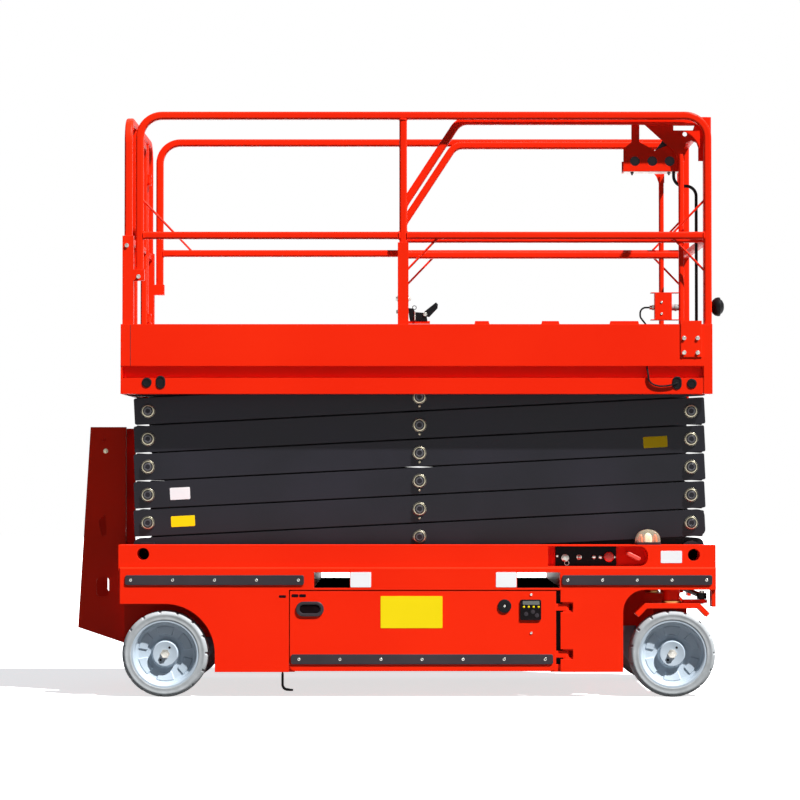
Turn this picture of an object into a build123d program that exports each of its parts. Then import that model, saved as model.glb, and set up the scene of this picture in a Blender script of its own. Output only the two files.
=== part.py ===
"""Electric slab scissor lift, stowed: chassis, swing-out trays, six-level scissor stack,
platform with sliding deck extension, guardrails, gate and ladder.

Millimetres. X runs from the ladder (rear) to the steered wheels (front), Z is up,
the right-hand side is at minus Y. The ground is z = 0.
"""
import math
import os
from build123d import *

# Running and steering gear
TYRE_R = 190.5
TYRE_W = 127.0
RIM_R = 150.0
REAR_AXLE_X = -1035.0
FRONT_AXLE_X = 1215.0
TYRE_INSET = 2.0
SPINDLE_R = 30.0
KING_PIN_R = 24.0
STEER_ARM = 135.0
YOKE_Z0 = 392.0
YOKE_Z1 = 414.0
TIE_Z = 445.0

# Chassis
CH_REAR = -1242.0
CH_FRONT = 1407.0
PLATE_OUT = 617.0
PLATE_T = 8.0
STRIP_T = 7.0
RAIL_IN = 505.0
RAIL_Z0 = 567.0
RAIL_Z1 = 673.0
PLATE_TOP = 575.0
SKIRT_Z = 111.0
DECK_Z0 = 552.0
DECK_Z1 = 560.0
BOX_Y = 325.0
BOX_TOP = 480.0
ARCH_R = 222.0
TIE_DOWNS = ((-1132.0, 633.0), (1310.0, 629.0))
TIE_R = 27.0
RECESS_X0 = 663.0
RECESS_X1 = 1106.0
RECESS_DEPTH = 60.0
RECESS_ROUND = 38.0
FORK_Z0 = 483.0
FORK_Z1 = 552.0
FORK_WALL = 6.0
FORK_X = ((-374.0, -215.0), (525.0, 716.0))

# Swing-out trays
DOOR_X0 = -481.0
DOOR_X1 = 698.0
DOOR_Z0 = 115.0
DOOR_Z1 = 469.0
HINGE_X = 745.0
HINGE_INSET = 15.0
HINGE_ZS = (190.0, 398.0)
HINGE_PIN_R = 8.0
TRAY_X0 = -430.0
TRAY_X1 = 600.0
TRAY_Y = 345.0

# Scissor stack
LEVELS = 6
PIN_L_X = -1123.0
PIN_R_X = 1312.0
PIN_Z = 643.0
PITCH = 125.4
ARM_H = 118.0
ARM_OVER = 62.0
OUT_Y0 = 410.0
OUT_Y1 = 470.0
IN_Y0 = 340.0
IN_Y1 = 400.0
ARM_PIN_R = 20.0
SHAFT_R = 28.0
ROLLER_R = 45.0
TOP_ROLLER_R = 42.5

# Lift cylinders
CYL_OFFSET = 1015.0
BARREL_R = 60.0
ROD_R = 35.0
TRUNNION_R = 25.0

# Platform
PF_REAR = -1237.0
PF_FRONT = 1398.0
PF_Z0 = 1344.0
TOE_IN = 571.0
TOE_OUT = 577.0
TOE_Z0 = 1468.0
TOE_Z1 = 1655.0
LEDGE_Z1 = 1484.0
FLOOR_Z = 1500.0
TUBE = 35.0
TUBE_ROUND = 9.0
MID_TUBE = 33.0
POST_TUBE = 34.0
FRONT_TUBE = 36.0
RAIL_Y = 549.0
RAIL_TOP_Z = 2588.0
RAIL_MID_Z = 2052.0
BEND_R = 100.0
REAR_TUBE_X = -1205.0
REAR_TOP_Z = 2570.0
POST_LEFT_X = -1155.0
POST_MID_X = 21.0
POST_RIGHT_X = 1380.0
GATE_POST_Y = 300.0
GATE_HINGE_ZS = (1720.0, 2380.0)

# Extension
EXT_Y = 500.0
EXT_TOP_Z = 2570.0
EXT_MID_Z = 2040.0
EXT_REAR_X = 22.0
EXT_FRONT_X = 1383.0
LEG_X = 1267.0
LEG_TUBE = 24.0
HOSE_Y = -475.5
HOSE_R = 7.0
CABLE_R = 4.0
EXT_FLOOR_Z0 = 1506.0
EXT_FLOOR_Z1 = 1514.0

# Clearances
RUN = 0.05
SLIDE = 0.5
BORE_GAP = 0.3

# Worked out from the sizes above
PLATE_IN = PLATE_OUT - PLATE_T
STRIP_OUT = PLATE_OUT + STRIP_T
WHEEL_Y = PLATE_OUT - TYRE_INSET - TYRE_W / 2
HINGE_Y = PLATE_IN - HINGE_INSET
RECESS_Y = PLATE_IN - RECESS_DEPTH
PANEL_Y = RECESS_Y + 8
SPAN = PIN_R_X - PIN_L_X
ARM_L = math.hypot(SPAN, PITCH)
TILT = math.atan2(PITCH, SPAN)
MID_X = (PIN_L_X + PIN_R_X) / 2
GATE_HINGE_X = REAR_TUBE_X + 22
GATE_HINGE_Y = GATE_POST_Y - 32
CRADLE_Y = -EXT_Y + TUBE / 2


def pin_z(level):
    return PIN_Z + PITCH * (level - 1)


def xz(y):
    return Plane(origin=(0, y, 0), x_dir=(1, 0, 0), z_dir=(0, -1, 0))


def slab(x0, x1, y0, y1, z0, z1, mode=Mode.ADD):
    with BuildSketch(Plane(origin=((x0 + x1) / 2, (y0 + y1) / 2, z0))) as face:
        Rectangle(abs(x1 - x0), abs(y1 - y0))
    extrude(face.sketch, amount=z1 - z0, mode=mode)


def pair(x0, x1, y0, y1, z0, z1, mode=Mode.ADD):
    slab(x0, x1, y0, y1, z0, z1, mode)
    slab(x0, x1, -y1, -y0, z0, z1, mode)


def round_y(x, z, r, y0, y1, mode=Mode.ADD):
    with BuildSketch(xz(y1)) as face:
        with Locations((x, z)):
            Circle(r)
    extrude(face.sketch, amount=y1 - y0, mode=mode)


def round_x(y, z, r, x0, x1, mode=Mode.ADD):
    with BuildSketch(Plane(origin=(x0, y, z), x_dir=(0, 1, 0), z_dir=(1, 0, 0))) as face:
        Circle(r)
    extrude(face.sketch, amount=x1 - x0, mode=mode)


def round_z(x, y, r, z0, z1, mode=Mode.ADD):
    with BuildSketch(Plane(origin=(x, y, z0))) as face:
        Circle(r)
    extrude(face.sketch, amount=z1 - z0, mode=mode)


def plate_y(points, y0, y1, mode=Mode.ADD):
    with BuildSketch(xz(y1)) as face:
        with BuildLine():
            Polyline(*points, close=True)
        make_face()
    extrude(face.sketch, amount=y1 - y0, mode=mode)


def tube_xz(points, y, radius, size=TUBE):
    with BuildLine(xz(y)) as path:
        if radius > 0:
            FilletPolyline(*points, radius=radius)
        else:
            Polyline(*points)
    with BuildSketch(Plane(origin=path.line @ 0, z_dir=path.line % 0)) as face:
        RectangleRounded(size, size, TUBE_ROUND)
    sweep(face.sketch, path=path.line)


def tube_yz(points, x, radius, size=TUBE):
    with BuildLine(Plane(origin=(x, 0, 0), x_dir=(0, 1, 0), z_dir=(1, 0, 0))) as path:
        if radius > 0:
            FilletPolyline(*points, radius=radius)
        else:
            Polyline(*points)
    with BuildSketch(Plane(origin=path.line @ 0, z_dir=path.line % 0)) as face:
        RectangleRounded(size, size, TUBE_ROUND)
    sweep(face.sketch, path=path.line)


def rod_line(start, end, r):
    axis = Vector(*end) - Vector(*start)
    with BuildSketch(Plane(origin=start, z_dir=axis)) as face:
        Circle(r)
    extrude(face.sketch, amount=axis.length)


def save(builder, name):
    builder.part.label = name
    export_step(builder.part, "parts/" + name + ".step")


def side_rail(s, with_recess):
    lo, hi = sorted((s * RAIL_IN, s * PLATE_IN))
    slab(CH_REAR, CH_FRONT, lo, hi, RAIL_Z0, RAIL_Z1)
    if with_recess:
        floor = sorted((s * RECESS_Y, s * PLATE_IN))
        with BuildSketch(xz(floor[1])) as recess:
            with Locations(((RECESS_X0 + RECESS_X1) / 2, (RAIL_Z0 + RAIL_Z1) / 2 + 2.5)):
                Rectangle(RECESS_X1 - RECESS_X0, RAIL_Z1 - RAIL_Z0 - 17)
            fillet(recess.vertices().group_by(Axis.X)[-1], RECESS_ROUND)
        extrude(recess.sketch, amount=floor[1] - floor[0], mode=Mode.SUBTRACT)
    for x, z in TIE_DOWNS:
        round_y(x, z, TIE_R, lo, hi, Mode.SUBTRACT)


def side_plate(s):
    lo, hi = sorted((s * PLATE_IN, s * PLATE_OUT))
    rail_lo, rail_hi = sorted((s * RAIL_IN, s * PLATE_IN))
    # lower plate with both wheel arches and the tray opening
    with BuildSketch(xz(hi)) as face:
        with BuildLine():
            Polyline((CH_REAR + 8, PLATE_TOP), (CH_FRONT, PLATE_TOP), (CH_FRONT, 475), (1093, 475))
            RadiusArc((1093, 475), (995, 378), -98)
            Polyline((995, 378), (995, SKIRT_Z), (718, SKIRT_Z), (718, 474), (DOOR_X0 - 4, 474),
                     (DOOR_X0 - 4, SKIRT_Z), (REAR_AXLE_X + ARCH_R, SKIRT_Z),
                     (REAR_AXLE_X + ARCH_R, TYRE_R))
            RadiusArc((REAR_AXLE_X + ARCH_R, TYRE_R), (REAR_AXLE_X, TYRE_R + ARCH_R), -ARCH_R)
            Polyline((REAR_AXLE_X, TYRE_R + ARCH_R), (CH_REAR + 8, TYRE_R + ARCH_R),
                     (CH_REAR + 8, PLATE_TOP))
        make_face()
    extrude(face.sketch, amount=hi - lo)
    # fork pocket mouths and hinge notches
    for x0, x1 in FORK_X:
        slab(x0, x1, lo, hi, FORK_Z0, FORK_Z1, Mode.SUBTRACT)
    for z in HINGE_ZS:
        slab(716, 773, lo, hi, z - 22, z + 22, Mode.SUBTRACT)
    # front hanging plate
    slab(1390, CH_FRONT, rail_lo, rail_hi, 399, RAIL_Z0)


def make_tray(s, name):
    lo, hi = sorted((s * PLATE_IN, s * PLATE_OUT))
    with BuildPart() as tray:
        with BuildSketch(xz(hi)) as face:
            with Locations(((DOOR_X0 + DOOR_X1) / 2, (DOOR_Z0 + DOOR_Z1) / 2)):
                Rectangle(DOOR_X1 - DOOR_X0, DOOR_Z1 - DOOR_Z0)
            fillet(face.vertices().group_by(Axis.Y)[0], 26)
        extrude(amount=hi - lo)
        # shelf and its upstand
        slab(TRAY_X0, TRAY_X1, min(s * TRAY_Y, s * PLATE_IN), max(s * TRAY_Y, s * PLATE_IN), 120, 128)
        slab(TRAY_X0, TRAY_X1, min(s * TRAY_Y, s * (TRAY_Y + 5)), max(s * TRAY_Y, s * (TRAY_Y + 5)),
             128, 200)
        for z in HINGE_ZS:
            strap = (s * (HINGE_Y + 3), s * PLATE_IN)
            slab(610, HINGE_X, min(strap), max(strap), z - 15, z + 15)
            round_z(HINGE_X, s * HINGE_Y, 14, z - 15, z + 15)
        for z in HINGE_ZS:
            round_z(HINGE_X, s * HINGE_Y, HINGE_PIN_R + RUN, z - 16, z + 16, Mode.SUBTRACT)
    save(tray, name)


def make_tray_trim(s, name):
    lo, hi = sorted((s * PLATE_OUT, s * STRIP_OUT))
    with BuildPart() as trim:
        # latch, cap, display and lower guard strip, all seated on the door
        with BuildSketch(xz(hi)):
            with Locations((-392, 390)):
                RectangleRounded(124, 66, 32)
            with Locations((470, 403)):
                Circle(30)
            with Locations((585.5, 386.5)):
                RectangleRounded(93, 91, 8)
            with Locations((104.5, 168)):
                RectangleRounded(1161, 44, 10)
        extrude(amount=hi - lo)
    save(trim, name)


def make_tyre(x, s, name):
    with BuildPart() as tyre:
        with BuildSketch(Plane(origin=(x, s * WHEEL_Y, TYRE_R), x_dir=(1, 0, 0), z_dir=(0, 0, 1))) as half:
            with Locations(((RIM_R + TYRE_R) / 2, 0)):
                Rectangle(TYRE_R - RIM_R, TYRE_W)
            fillet(half.vertices().group_by(Axis.X)[-1], 16)
        revolve(axis=Axis((x, s * WHEEL_Y, TYRE_R), (0, 1, 0)))
    save(tyre, name)


def make_rim(x, s, name):
    face = Plane(origin=(x, s * WHEEL_Y, TYRE_R), x_dir=(1, 0, 0), z_dir=(0, 0, s))
    bore = SPINDLE_R + RUN
    with BuildPart() as rim:
        with BuildSketch(face):
            with BuildLine():
                Polyline((bore, -52), (64, -52), (64, -14), (RIM_R - 14, 0), (RIM_R - 14, -60),
                         (RIM_R, -60), (RIM_R, 61), (142, 61), (136, 55), (132, 34), (70, 12), (57, 18),
                         (57, 40), (48, 46), (0, 46), (0, 30), (bore, 30), close=True)
            make_face()
        revolve(axis=Axis((x, s * WHEEL_Y, TYRE_R), (0, 1, 0)))
    save(rim, name)


def make_knuckle(s, name):
    x = FRONT_AXLE_X
    y = s * WHEEL_Y
    with BuildPart() as knuckle:
        # yoke plate over the tyre, ends bent down
        with BuildSketch(xz(y + 58)):
            with BuildLine():
                Polyline((x - 122, YOKE_Z1), (x + 122, YOKE_Z1), (x + 166, YOKE_Z1 - 44),
                         (x + 150, YOKE_Z1 - 60), (x + 113, YOKE_Z0), (x - 113, YOKE_Z0),
                         (x - 150, YOKE_Z1 - 60), (x - 166, YOKE_Z1 - 44), close=True)
            make_face()
        extrude(amount=116)
        # leg down the inner side of the wheel, with the spindle
        leg = (s * (WHEEL_Y - 96), s * (WHEEL_Y - 74))
        slab(x - 75, x + 75, min(leg), max(leg), 105, YOKE_Z1)
        arm = (s * (WHEEL_Y - 96), s * (WHEEL_Y - 50))
        slab(x - 75, x + 75, min(arm), max(arm), YOKE_Z0, YOKE_Z1)
        shaft = (s * (WHEEL_Y - 74), s * (WHEEL_Y + 22))
        round_y(x, TYRE_R, SPINDLE_R, min(shaft), max(shaft))
        # king pin, thrust ring and steering arm
        round_z(x, y, 42, YOKE_Z1, YOKE_Z1 + 10)
        round_z(x, y, KING_PIN_R, YOKE_Z1, 545)
        slab(x + 48, x + STEER_ARM, y - 24, y + 24, YOKE_Z1, YOKE_Z1 + 16)
        round_z(x + STEER_ARM, y, 24, YOKE_Z1, YOKE_Z1 + 16)
        round_z(x + STEER_ARM, y, 10 + RUN, YOKE_Z0 - 30, YOKE_Z1 + 17, Mode.SUBTRACT)
    save(knuckle, name)


def make_motor(s, name):
    inner = (s * (WHEEL_Y - 226), s * (WHEEL_Y - 96))
    with BuildPart() as motor:
        round_y(FRONT_AXLE_X, TYRE_R, 70, min(inner), max(inner))
    save(motor, name)


def arm_plane(level, side, y):
    rise = math.sin(TILT) * side
    return Plane(origin=(MID_X, y, pin_z(level) + PITCH / 2), x_dir=(math.cos(TILT), 0, rise),
                 z_dir=(0, -1, 0))


def arm_bars(level, side, y0, y1, bores, corner):
    for lo, hi in ((-y1, -y0), (y0, y1)):
        with BuildSketch(arm_plane(level, side, hi)) as face:
            RectangleRounded(ARM_L + 2 * ARM_OVER, ARM_H, corner)
            for u, r in bores:
                with Locations((u, 0)):
                    Circle(r, mode=Mode.SUBTRACT)
        extrude(face.sketch, amount=hi - lo)


def make_outer_arm(level):
    bores = [(u, ARM_PIN_R + RUN) for u in (-ARM_L / 2, 0, ARM_L / 2)]
    if level == LEVELS:
        bores = bores[:2]
    with BuildPart() as arm:
        arm_bars(level, 1, OUT_Y0, OUT_Y1, bores, 30 if level == 1 else 8)
        if level == LEVELS:
            for s in (-1, 1):
                span = (s * OUT_Y1, s * 532)
                round_y(PIN_R_X, pin_z(LEVELS + 1), ARM_PIN_R, min(span), max(span))
    save(arm, "outer_arm_" + str(level))


def make_inner_arm(level):
    z0 = pin_z(level)
    z1 = pin_z(level + 1)
    zc = (z0 + z1) / 2
    bores = []
    if level in (1, 4):
        bores = [(-CYL_OFFSET, TRUNNION_R + RUN)]
    with BuildPart() as arm:
        arm_bars(level, -1, IN_Y0, IN_Y1, bores, 30 if level == 1 else 8)
        stations = [(PIN_L_X, z1), (MID_X, zc), (PIN_R_X, z0)]
        for x, z in stations:
            for s in (-1, 1):
                top_joint = level == LEVELS and x == PIN_L_X
                low_joint = level == 1 and x == PIN_R_X
                end = 434 if top_joint else 472 if low_joint else 476
                span = (s * IN_Y1, s * end)
                round_y(x, z, ARM_PIN_R, min(span), max(span))
                if not top_joint and not low_joint:
                    boss = (s * IN_Y1, s * (OUT_Y0 - BORE_GAP))
                    round_y(x, z, 34, min(boss), max(boss))
                    cap = (s * (OUT_Y1 + BORE_GAP), s * 478)
                    round_y(x, z, 30, min(cap), max(cap))
                    head = (s * 478, s * 488)
                    round_y(x, z, 18, min(head), max(head))
        # cross tubes; the levels that take a rod end leave the lower end free for it
        ends = [(PIN_L_X, z1), (PIN_R_X, z0)]
        if level in (3, 6):
            ends = [(PIN_L_X, z1), (MID_X - 600 * math.cos(TILT), zc + 600 * math.sin(TILT))]
        for x, z in ends:
            round_y(x, z, SHAFT_R, -IN_Y0, IN_Y0)
        if level in (3, 6):
            for lo, hi in ((-IN_Y0, -306), (306, IN_Y0)):
                with BuildSketch(arm_plane(level, -1, hi)) as pad:
                    with Locations((CYL_OFFSET, 41)):
                        Rectangle(110, 28)
                extrude(pad.sketch, amount=hi - lo)
    save(arm, "inner_arm_" + str(level))


def cylinder_frame(level):
    u = CYL_OFFSET
    px = MID_X - u * math.cos(TILT)
    pz = pin_z(level) + PITCH / 2 + u * math.sin(TILT)
    qx = MID_X + u * math.cos(TILT)
    qz = pin_z(level + 2) + PITCH / 2 - u * math.sin(TILT)
    reach = math.hypot(qx - px, qz - pz)
    return px, pz, (qx - px) / reach, (qz - pz) / reach, reach


def make_barrel(level, name):
    px, pz, cx, cz, reach = cylinder_frame(level)
    with BuildPart() as barrel:
        round_y(px, pz, TRUNNION_R, -380, 380)
        round_y(px, pz, 55, -80, 80)
        with BuildSketch(Plane(origin=(px, 0, pz), z_dir=(cx, 0, cz))) as face:
            Circle(BARREL_R)
        extrude(face.sketch, amount=reach - 240)
        with BuildSketch(Plane(origin=(px + 110 * cx, 0, pz + 110 * cz), z_dir=(cx, 0, cz))) as bore:
            Circle(ROD_R + BORE_GAP)
        extrude(bore.sketch, amount=reach, mode=Mode.SUBTRACT)
    save(barrel, name)


def make_rod(level, name):
    px, pz, cx, cz, reach = cylinder_frame(level)
    qx = px + reach * cx
    qz = pz + reach * cz
    with BuildPart() as rod:
        round_y(qx, qz, TRUNNION_R, -330, 330)
        round_y(qx, qz, 48, -60, 60)
        with BuildSketch(Plane(origin=(qx, 0, qz), z_dir=(-cx, 0, -cz))) as face:
            Circle(ROD_R)
        extrude(face.sketch, amount=reach - 180)
    save(rod, name)


os.makedirs("parts", exist_ok=True)

# Chassis tub: centre box, deck, bulkheads, fork tubes, front beam and king-pin bosses
with BuildPart() as chassis:
    slab(-500, 802, -BOX_Y, BOX_Y, 125, BOX_TOP)
    slab(CH_REAR, -500, -BOX_Y, BOX_Y, 250, BOX_TOP)
    slab(802, 1120, -290, 290, 300, BOX_TOP)
    slab(CH_REAR, CH_FRONT, -RAIL_IN, RAIL_IN, DECK_Z0, DECK_Z1)
    pair(CH_REAR, 1390, 288, 300, BOX_TOP, DECK_Z0)
    slab(CH_REAR, CH_REAR + 8, -PLATE_IN, PLATE_IN, TYRE_R + ARCH_R, RAIL_Z0)
    slab(1390, 1402, -RAIL_IN, RAIL_IN, BOX_TOP, DECK_Z0)
    for x0, x1 in ((-501, -489), (790, 802)):
        pair(x0, x1, BOX_Y, PLATE_IN, 125, DECK_Z0)
    for x0, x1 in FORK_X:
        slab(x0 - FORK_WALL, x1 + FORK_WALL, -PLATE_IN, PLATE_IN, FORK_Z0 - FORK_WALL, FORK_Z1 + FORK_WALL)
    for x0, x1 in FORK_X:
        slab(x0, x1, -PLATE_IN, PLATE_IN, FORK_Z0, FORK_Z1, Mode.SUBTRACT)
    slab(1160, 1270, -PLATE_IN + 8, PLATE_IN - 8, BOX_TOP, DECK_Z0)
    for s in (-1, 1):
        round_z(FRONT_AXLE_X, s * WHEEL_Y, 37, YOKE_Z1 + 10 + BORE_GAP, BOX_TOP)
        round_z(FRONT_AXLE_X, s * WHEEL_Y, KING_PIN_R + RUN, YOKE_Z1 + 10, DECK_Z0 - 4, Mode.SUBTRACT)
        # backing plates behind the tie-down eyes
        for x, z in TIE_DOWNS:
            back = sorted((s * (RAIL_IN - 8), s * RAIL_IN))
            slab(x - TIE_R - 12, x + TIE_R + 12, back[0], back[1], DECK_Z0, z + TIE_R + 9)
        # tray hinge brackets and their pins
        for z in HINGE_ZS:
            y = s * HINGE_Y
            for z0, z1 in ((z - 27, z - 15.5), (z + 15.5, z + 27)):
                slab(HINGE_X - 14, 790, y - 14, y + 14, z0, z1)
            round_z(HINGE_X, y, HINGE_PIN_R, z - 27, z + 27)
save(chassis, "chassis_tub")

# Side rails: closed boxes along the top edge, with the tie-down eyes and the control recess
with BuildPart() as side_rails:
    side_rail(-1, True)
    side_rail(1, False)
save(side_rails, "side_rails")

# Side plates below the rails; the top edge of the proud plate is bevelled
with BuildPart() as side_plates:
    side_plate(-1)
    side_plate(1)
    top = side_plates.edges().filter_by(Axis.X).filter_by_position(Axis.Z, PLATE_TOP - 0.1, PLATE_TOP + 0.1)
    outer = [e for e in top if abs(e.center().Y) > PLATE_OUT - 0.1]
    chamfer(outer, 6)
save(side_plates, "side_plates")

# Scissor anchors on the chassis deck: lugs with the fixed pins, and the two roller tracks
with BuildPart() as anchors:
    for s in (-1, 1):
        for y0, y1 in ((388, 402), (478, 492)):
            lo, hi = sorted((s * y0, s * y1))
            with BuildSketch(xz(hi)) as lug:
                with BuildLine():
                    Polyline((PIN_L_X - 45, DECK_Z1), (PIN_L_X + 45, DECK_Z1), (PIN_L_X + 30, PIN_Z + 40),
                             (PIN_L_X - 30, PIN_Z + 40), close=True)
                make_face()
            extrude(lug.sketch, amount=hi - lo)
        span = (s * 388, s * 492)
        round_y(PIN_L_X, PIN_Z, ARM_PIN_R, min(span), max(span))
        track = (s * 404, s * 472)
        slab(MID_X - 275, PIN_R_X + 73, min(track), max(track), DECK_Z1, PIN_Z - ROLLER_R - SLIDE)
save(anchors, "scissor_anchors")

# Rear axle beam with its two spindles
with BuildPart() as rear_axle:
    beam = WHEEL_Y - 81.5
    slab(REAR_AXLE_X - 50, REAR_AXLE_X + 50, -beam, beam, 140, 250)
    for s in (-1, 1):
        span = (s * beam, s * (WHEEL_Y + 22))
        round_y(REAR_AXLE_X, TYRE_R, SPINDLE_R, min(span), max(span))
save(rear_axle, "rear_axle")

# Ladder at the rear, two tapered side plates and four steps
with BuildPart() as ladder:
    for lo, hi in ((-256, -250), (250, 256)):
        plate_y([(-1458, 290), (-1242, 217), (-1242, 1201), (-1403, 1201)], lo, hi)
        # hand slot, tapered opening and small hole in the side plate
        with BuildSketch(xz(hi)) as cuts:
            with Locations((-1346, 474)):
                RectangleRounded(56, 88, 16)
            with BuildLine():
                Polyline((-1336, 804), (-1329, 706), (-1352, 706), (-1366, 774), close=True)
            make_face()
            with Locations((-1342, 1142)):
                Circle(9)
        extrude(cuts.sketch, amount=hi - lo, mode=Mode.SUBTRACT)
    for lo, hi in ((-250, -220), (220, 250)):
        slab(-1248, -1242, lo, hi, 217, 1201)
    for k in range(4):
        z = 300 + 285 * k
        slab(-1440 + 15 * k, -1290, -250, 250, z, z + 28)
save(ladder, "ladder")

# Guard strips on the side plates
with BuildPart() as strips:
    for s in (-1, 1):
        lo, hi = sorted((s * PLATE_OUT, s * STRIP_OUT))
        with BuildSketch(xz(hi)) as face:
            with Locations((-814.5, 518)):
                RectangleRounded(793, 44, 10)
            with Locations((1057.5, 518)):
                RectangleRounded(665, 44, 10)
        extrude(face.sketch, amount=hi - lo)
save(strips, "guard_strips")

# Ground control panel in its recess
with BuildPart() as ground:
    slab(698, 969, -PANEL_Y, -RECESS_Y, 578, 667)
    round_y(738, 616, 12, -PANEL_Y - 13, -PANEL_Y)
    round_y(796, 620, 9, -PANEL_Y - 23, -PANEL_Y)
    round_y(867, 620, 12, -PANEL_Y - 11, -PANEL_Y)
    round_y(933, 620, 20, -PANEL_Y - 25, -PANEL_Y)
    # release lever on its foot at the rounded end of the recess
    slab(1012, 1028, -PANEL_Y - 27, -RECESS_Y, 626, 642)
    plate_y([(1008, 646), (1016, 652), (1066, 628), (1062, 612), (1052, 610), (1010, 632)],
            -PANEL_Y - 37, -PANEL_Y - 27)
save(ground, "ground_controls")

# Warning beacon on the rail
with BuildPart() as beacon:
    slab(1053, 1168, -575, -535, RAIL_Z1, 684)
    with BuildSketch(Plane(origin=(1110, -555, 684))) as dome:
        RectangleRounded(104, 36, 16)
    extrude(dome.sketch, amount=58, taper=3)
save(beacon, "beacon")

# Trays with their loads
make_tray(-1, "tray_right")
make_tray(1, "tray_left")
make_tray_trim(-1, "tray_trim_right")
make_tray_trim(1, "tray_trim_left")
with BuildPart() as battery:
    slab(-400, 560, -PLATE_IN + 29, -TRAY_Y - 15, 128, 385)
save(battery, "battery_pack")
with BuildPart() as power_unit:
    slab(-400, 120, TRAY_Y + 15, PLATE_IN - 29, 128, 360)
    slab(160, 540, TRAY_Y + 15, PLATE_IN - 29, 128, 330)
save(power_unit, "power_unit")

# Wheels
for x, end in ((REAR_AXLE_X, "rear"), (FRONT_AXLE_X, "front")):
    for s, side in ((-1, "right"), (1, "left")):
        make_tyre(x, s, "tyre_" + end + "_" + side)
        make_rim(x, s, "rim_" + end + "_" + side)

# Steering
make_knuckle(-1, "knuckle_right")
make_knuckle(1, "knuckle_left")
make_motor(-1, "drive_motor_right")
make_motor(1, "drive_motor_left")
with BuildPart() as tie_rod:
    for s in (-1, 1):
        round_z(FRONT_AXLE_X + STEER_ARM, s * WHEEL_Y, 10, YOKE_Z1 - 4, TIE_Z + 13)
        round_z(FRONT_AXLE_X + STEER_ARM, s * WHEEL_Y, 22, TIE_Z - 13, TIE_Z + 13)
    round_y(FRONT_AXLE_X + STEER_ARM, TIE_Z, 12, -WHEEL_Y, WHEEL_Y)
save(tie_rod, "tie_rod")

# Scissor stack
for level in range(1, LEVELS + 1):
    make_outer_arm(level)
    make_inner_arm(level)

with BuildPart() as lower_rollers:
    for s in (-1, 1):
        span = (s * 408, s * 468)
        round_y(PIN_R_X, PIN_Z, ROLLER_R, min(span), max(span))
        round_y(PIN_R_X, PIN_Z, ARM_PIN_R, min(span), max(span), Mode.SUBTRACT)
save(lower_rollers, "lower_rollers")

with BuildPart() as upper_rollers:
    for s in (-1, 1):
        span = (s * 484, s * 528)
        round_y(PIN_R_X, pin_z(LEVELS + 1), TOP_ROLLER_R, min(span), max(span))
        round_y(PIN_R_X, pin_z(LEVELS + 1), ARM_PIN_R, min(span), max(span), Mode.SUBTRACT)
save(upper_rollers, "upper_rollers")

make_barrel(1, "lower_cylinder_barrel")
make_rod(1, "lower_cylinder_rod")
make_barrel(4, "upper_cylinder_barrel")
make_rod(4, "upper_cylinder_rod")

# Platform frame: folded side beams with toe boards, rear toe boards and the pivot lugs
with BuildPart() as platform:
    for s in (-1, 1):
        for y0, y1, z0, z1 in ((500, 575, PF_Z0, PF_Z0 + 8), (567, 575, PF_Z0, 1415),
                               (540, 575, 1407, 1415), (540, 548, 1407, LEDGE_Z1),
                               (500, TOE_OUT, 1476, LEDGE_Z1)):
            slab(PF_REAR, PF_FRONT, min(s * y0, s * y1), max(s * y0, s * y1), z0, z1)
        toe = (s * TOE_IN, s * TOE_OUT)
        slab(PF_REAR, PF_FRONT, min(toe), max(toe), TOE_Z0, TOE_Z1)
        rear = (s * 330, s * TOE_OUT)
        slab(PF_REAR, PF_REAR + 6, min(rear), max(rear), TOE_Z0, TOE_Z1)
        back = (s * 0, s * 575)
        slab(PF_REAR, PF_REAR + 8, min(back), max(back), PF_Z0, LEDGE_Z1)
        lug = (s * 412, s * 426)
        with BuildSketch(xz(max(lug))) as face:
            with BuildLine():
                Polyline((PIN_L_X - 60, LEDGE_Z1), (PIN_L_X - 40, 1352), (PIN_L_X + 40, 1352),
                         (PIN_L_X + 60, LEDGE_Z1), close=True)
            make_face()
            with Locations((PIN_L_X, pin_z(LEVELS + 1))):
                Circle(ARM_PIN_R + RUN, mode=Mode.SUBTRACT)
        extrude(face.sketch, amount=14)
        hang = (s * 412, s * 540)
        slab(PIN_L_X - 60, PIN_L_X + 60, min(hang), max(hang), 1476, LEDGE_Z1)
        # front corner post under the toe board, bolted corner plate and guide clips
        slab(PF_FRONT - 39, PF_FRONT, min(toe), max(toe), PF_Z0, TOE_Z0)
        slab(PF_FRONT - 8, PF_FRONT, min(s * 500, s * TOE_IN), max(s * 500, s * TOE_IN), PF_Z0, LEDGE_Z1)
        corner = (s * TOE_OUT, s * (TOE_OUT + 4))
        slab(PF_FRONT - 141, PF_FRONT - 48, min(corner), max(corner), 1508, TOE_Z1 + 15)
        clip = (s * (TOE_IN - 4), s * TOE_IN)
        for x0, x1 in ((344, 400), (642, 712), (946, 1066)):
            plate_y([(x0 - 14, TOE_Z1 - 30), (x1 + 14, TOE_Z1 - 30), (x1 + 2, TOE_Z1 + 14),
                     (x0 - 2, TOE_Z1 + 14)], min(clip), max(clip))
save(platform, "platform_frame")

# Main deck plate with ribs between the arms
with BuildPart() as deck:
    slab(PF_REAR + 8, PF_FRONT - 8, -524, 524, LEDGE_Z1, FLOOR_Z)
    for k in range(5):
        x = -1000 + 540 * k
        slab(x - 20, x + 20, -320, 320, 1444, LEDGE_Z1)
save(deck, "main_deck")

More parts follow.
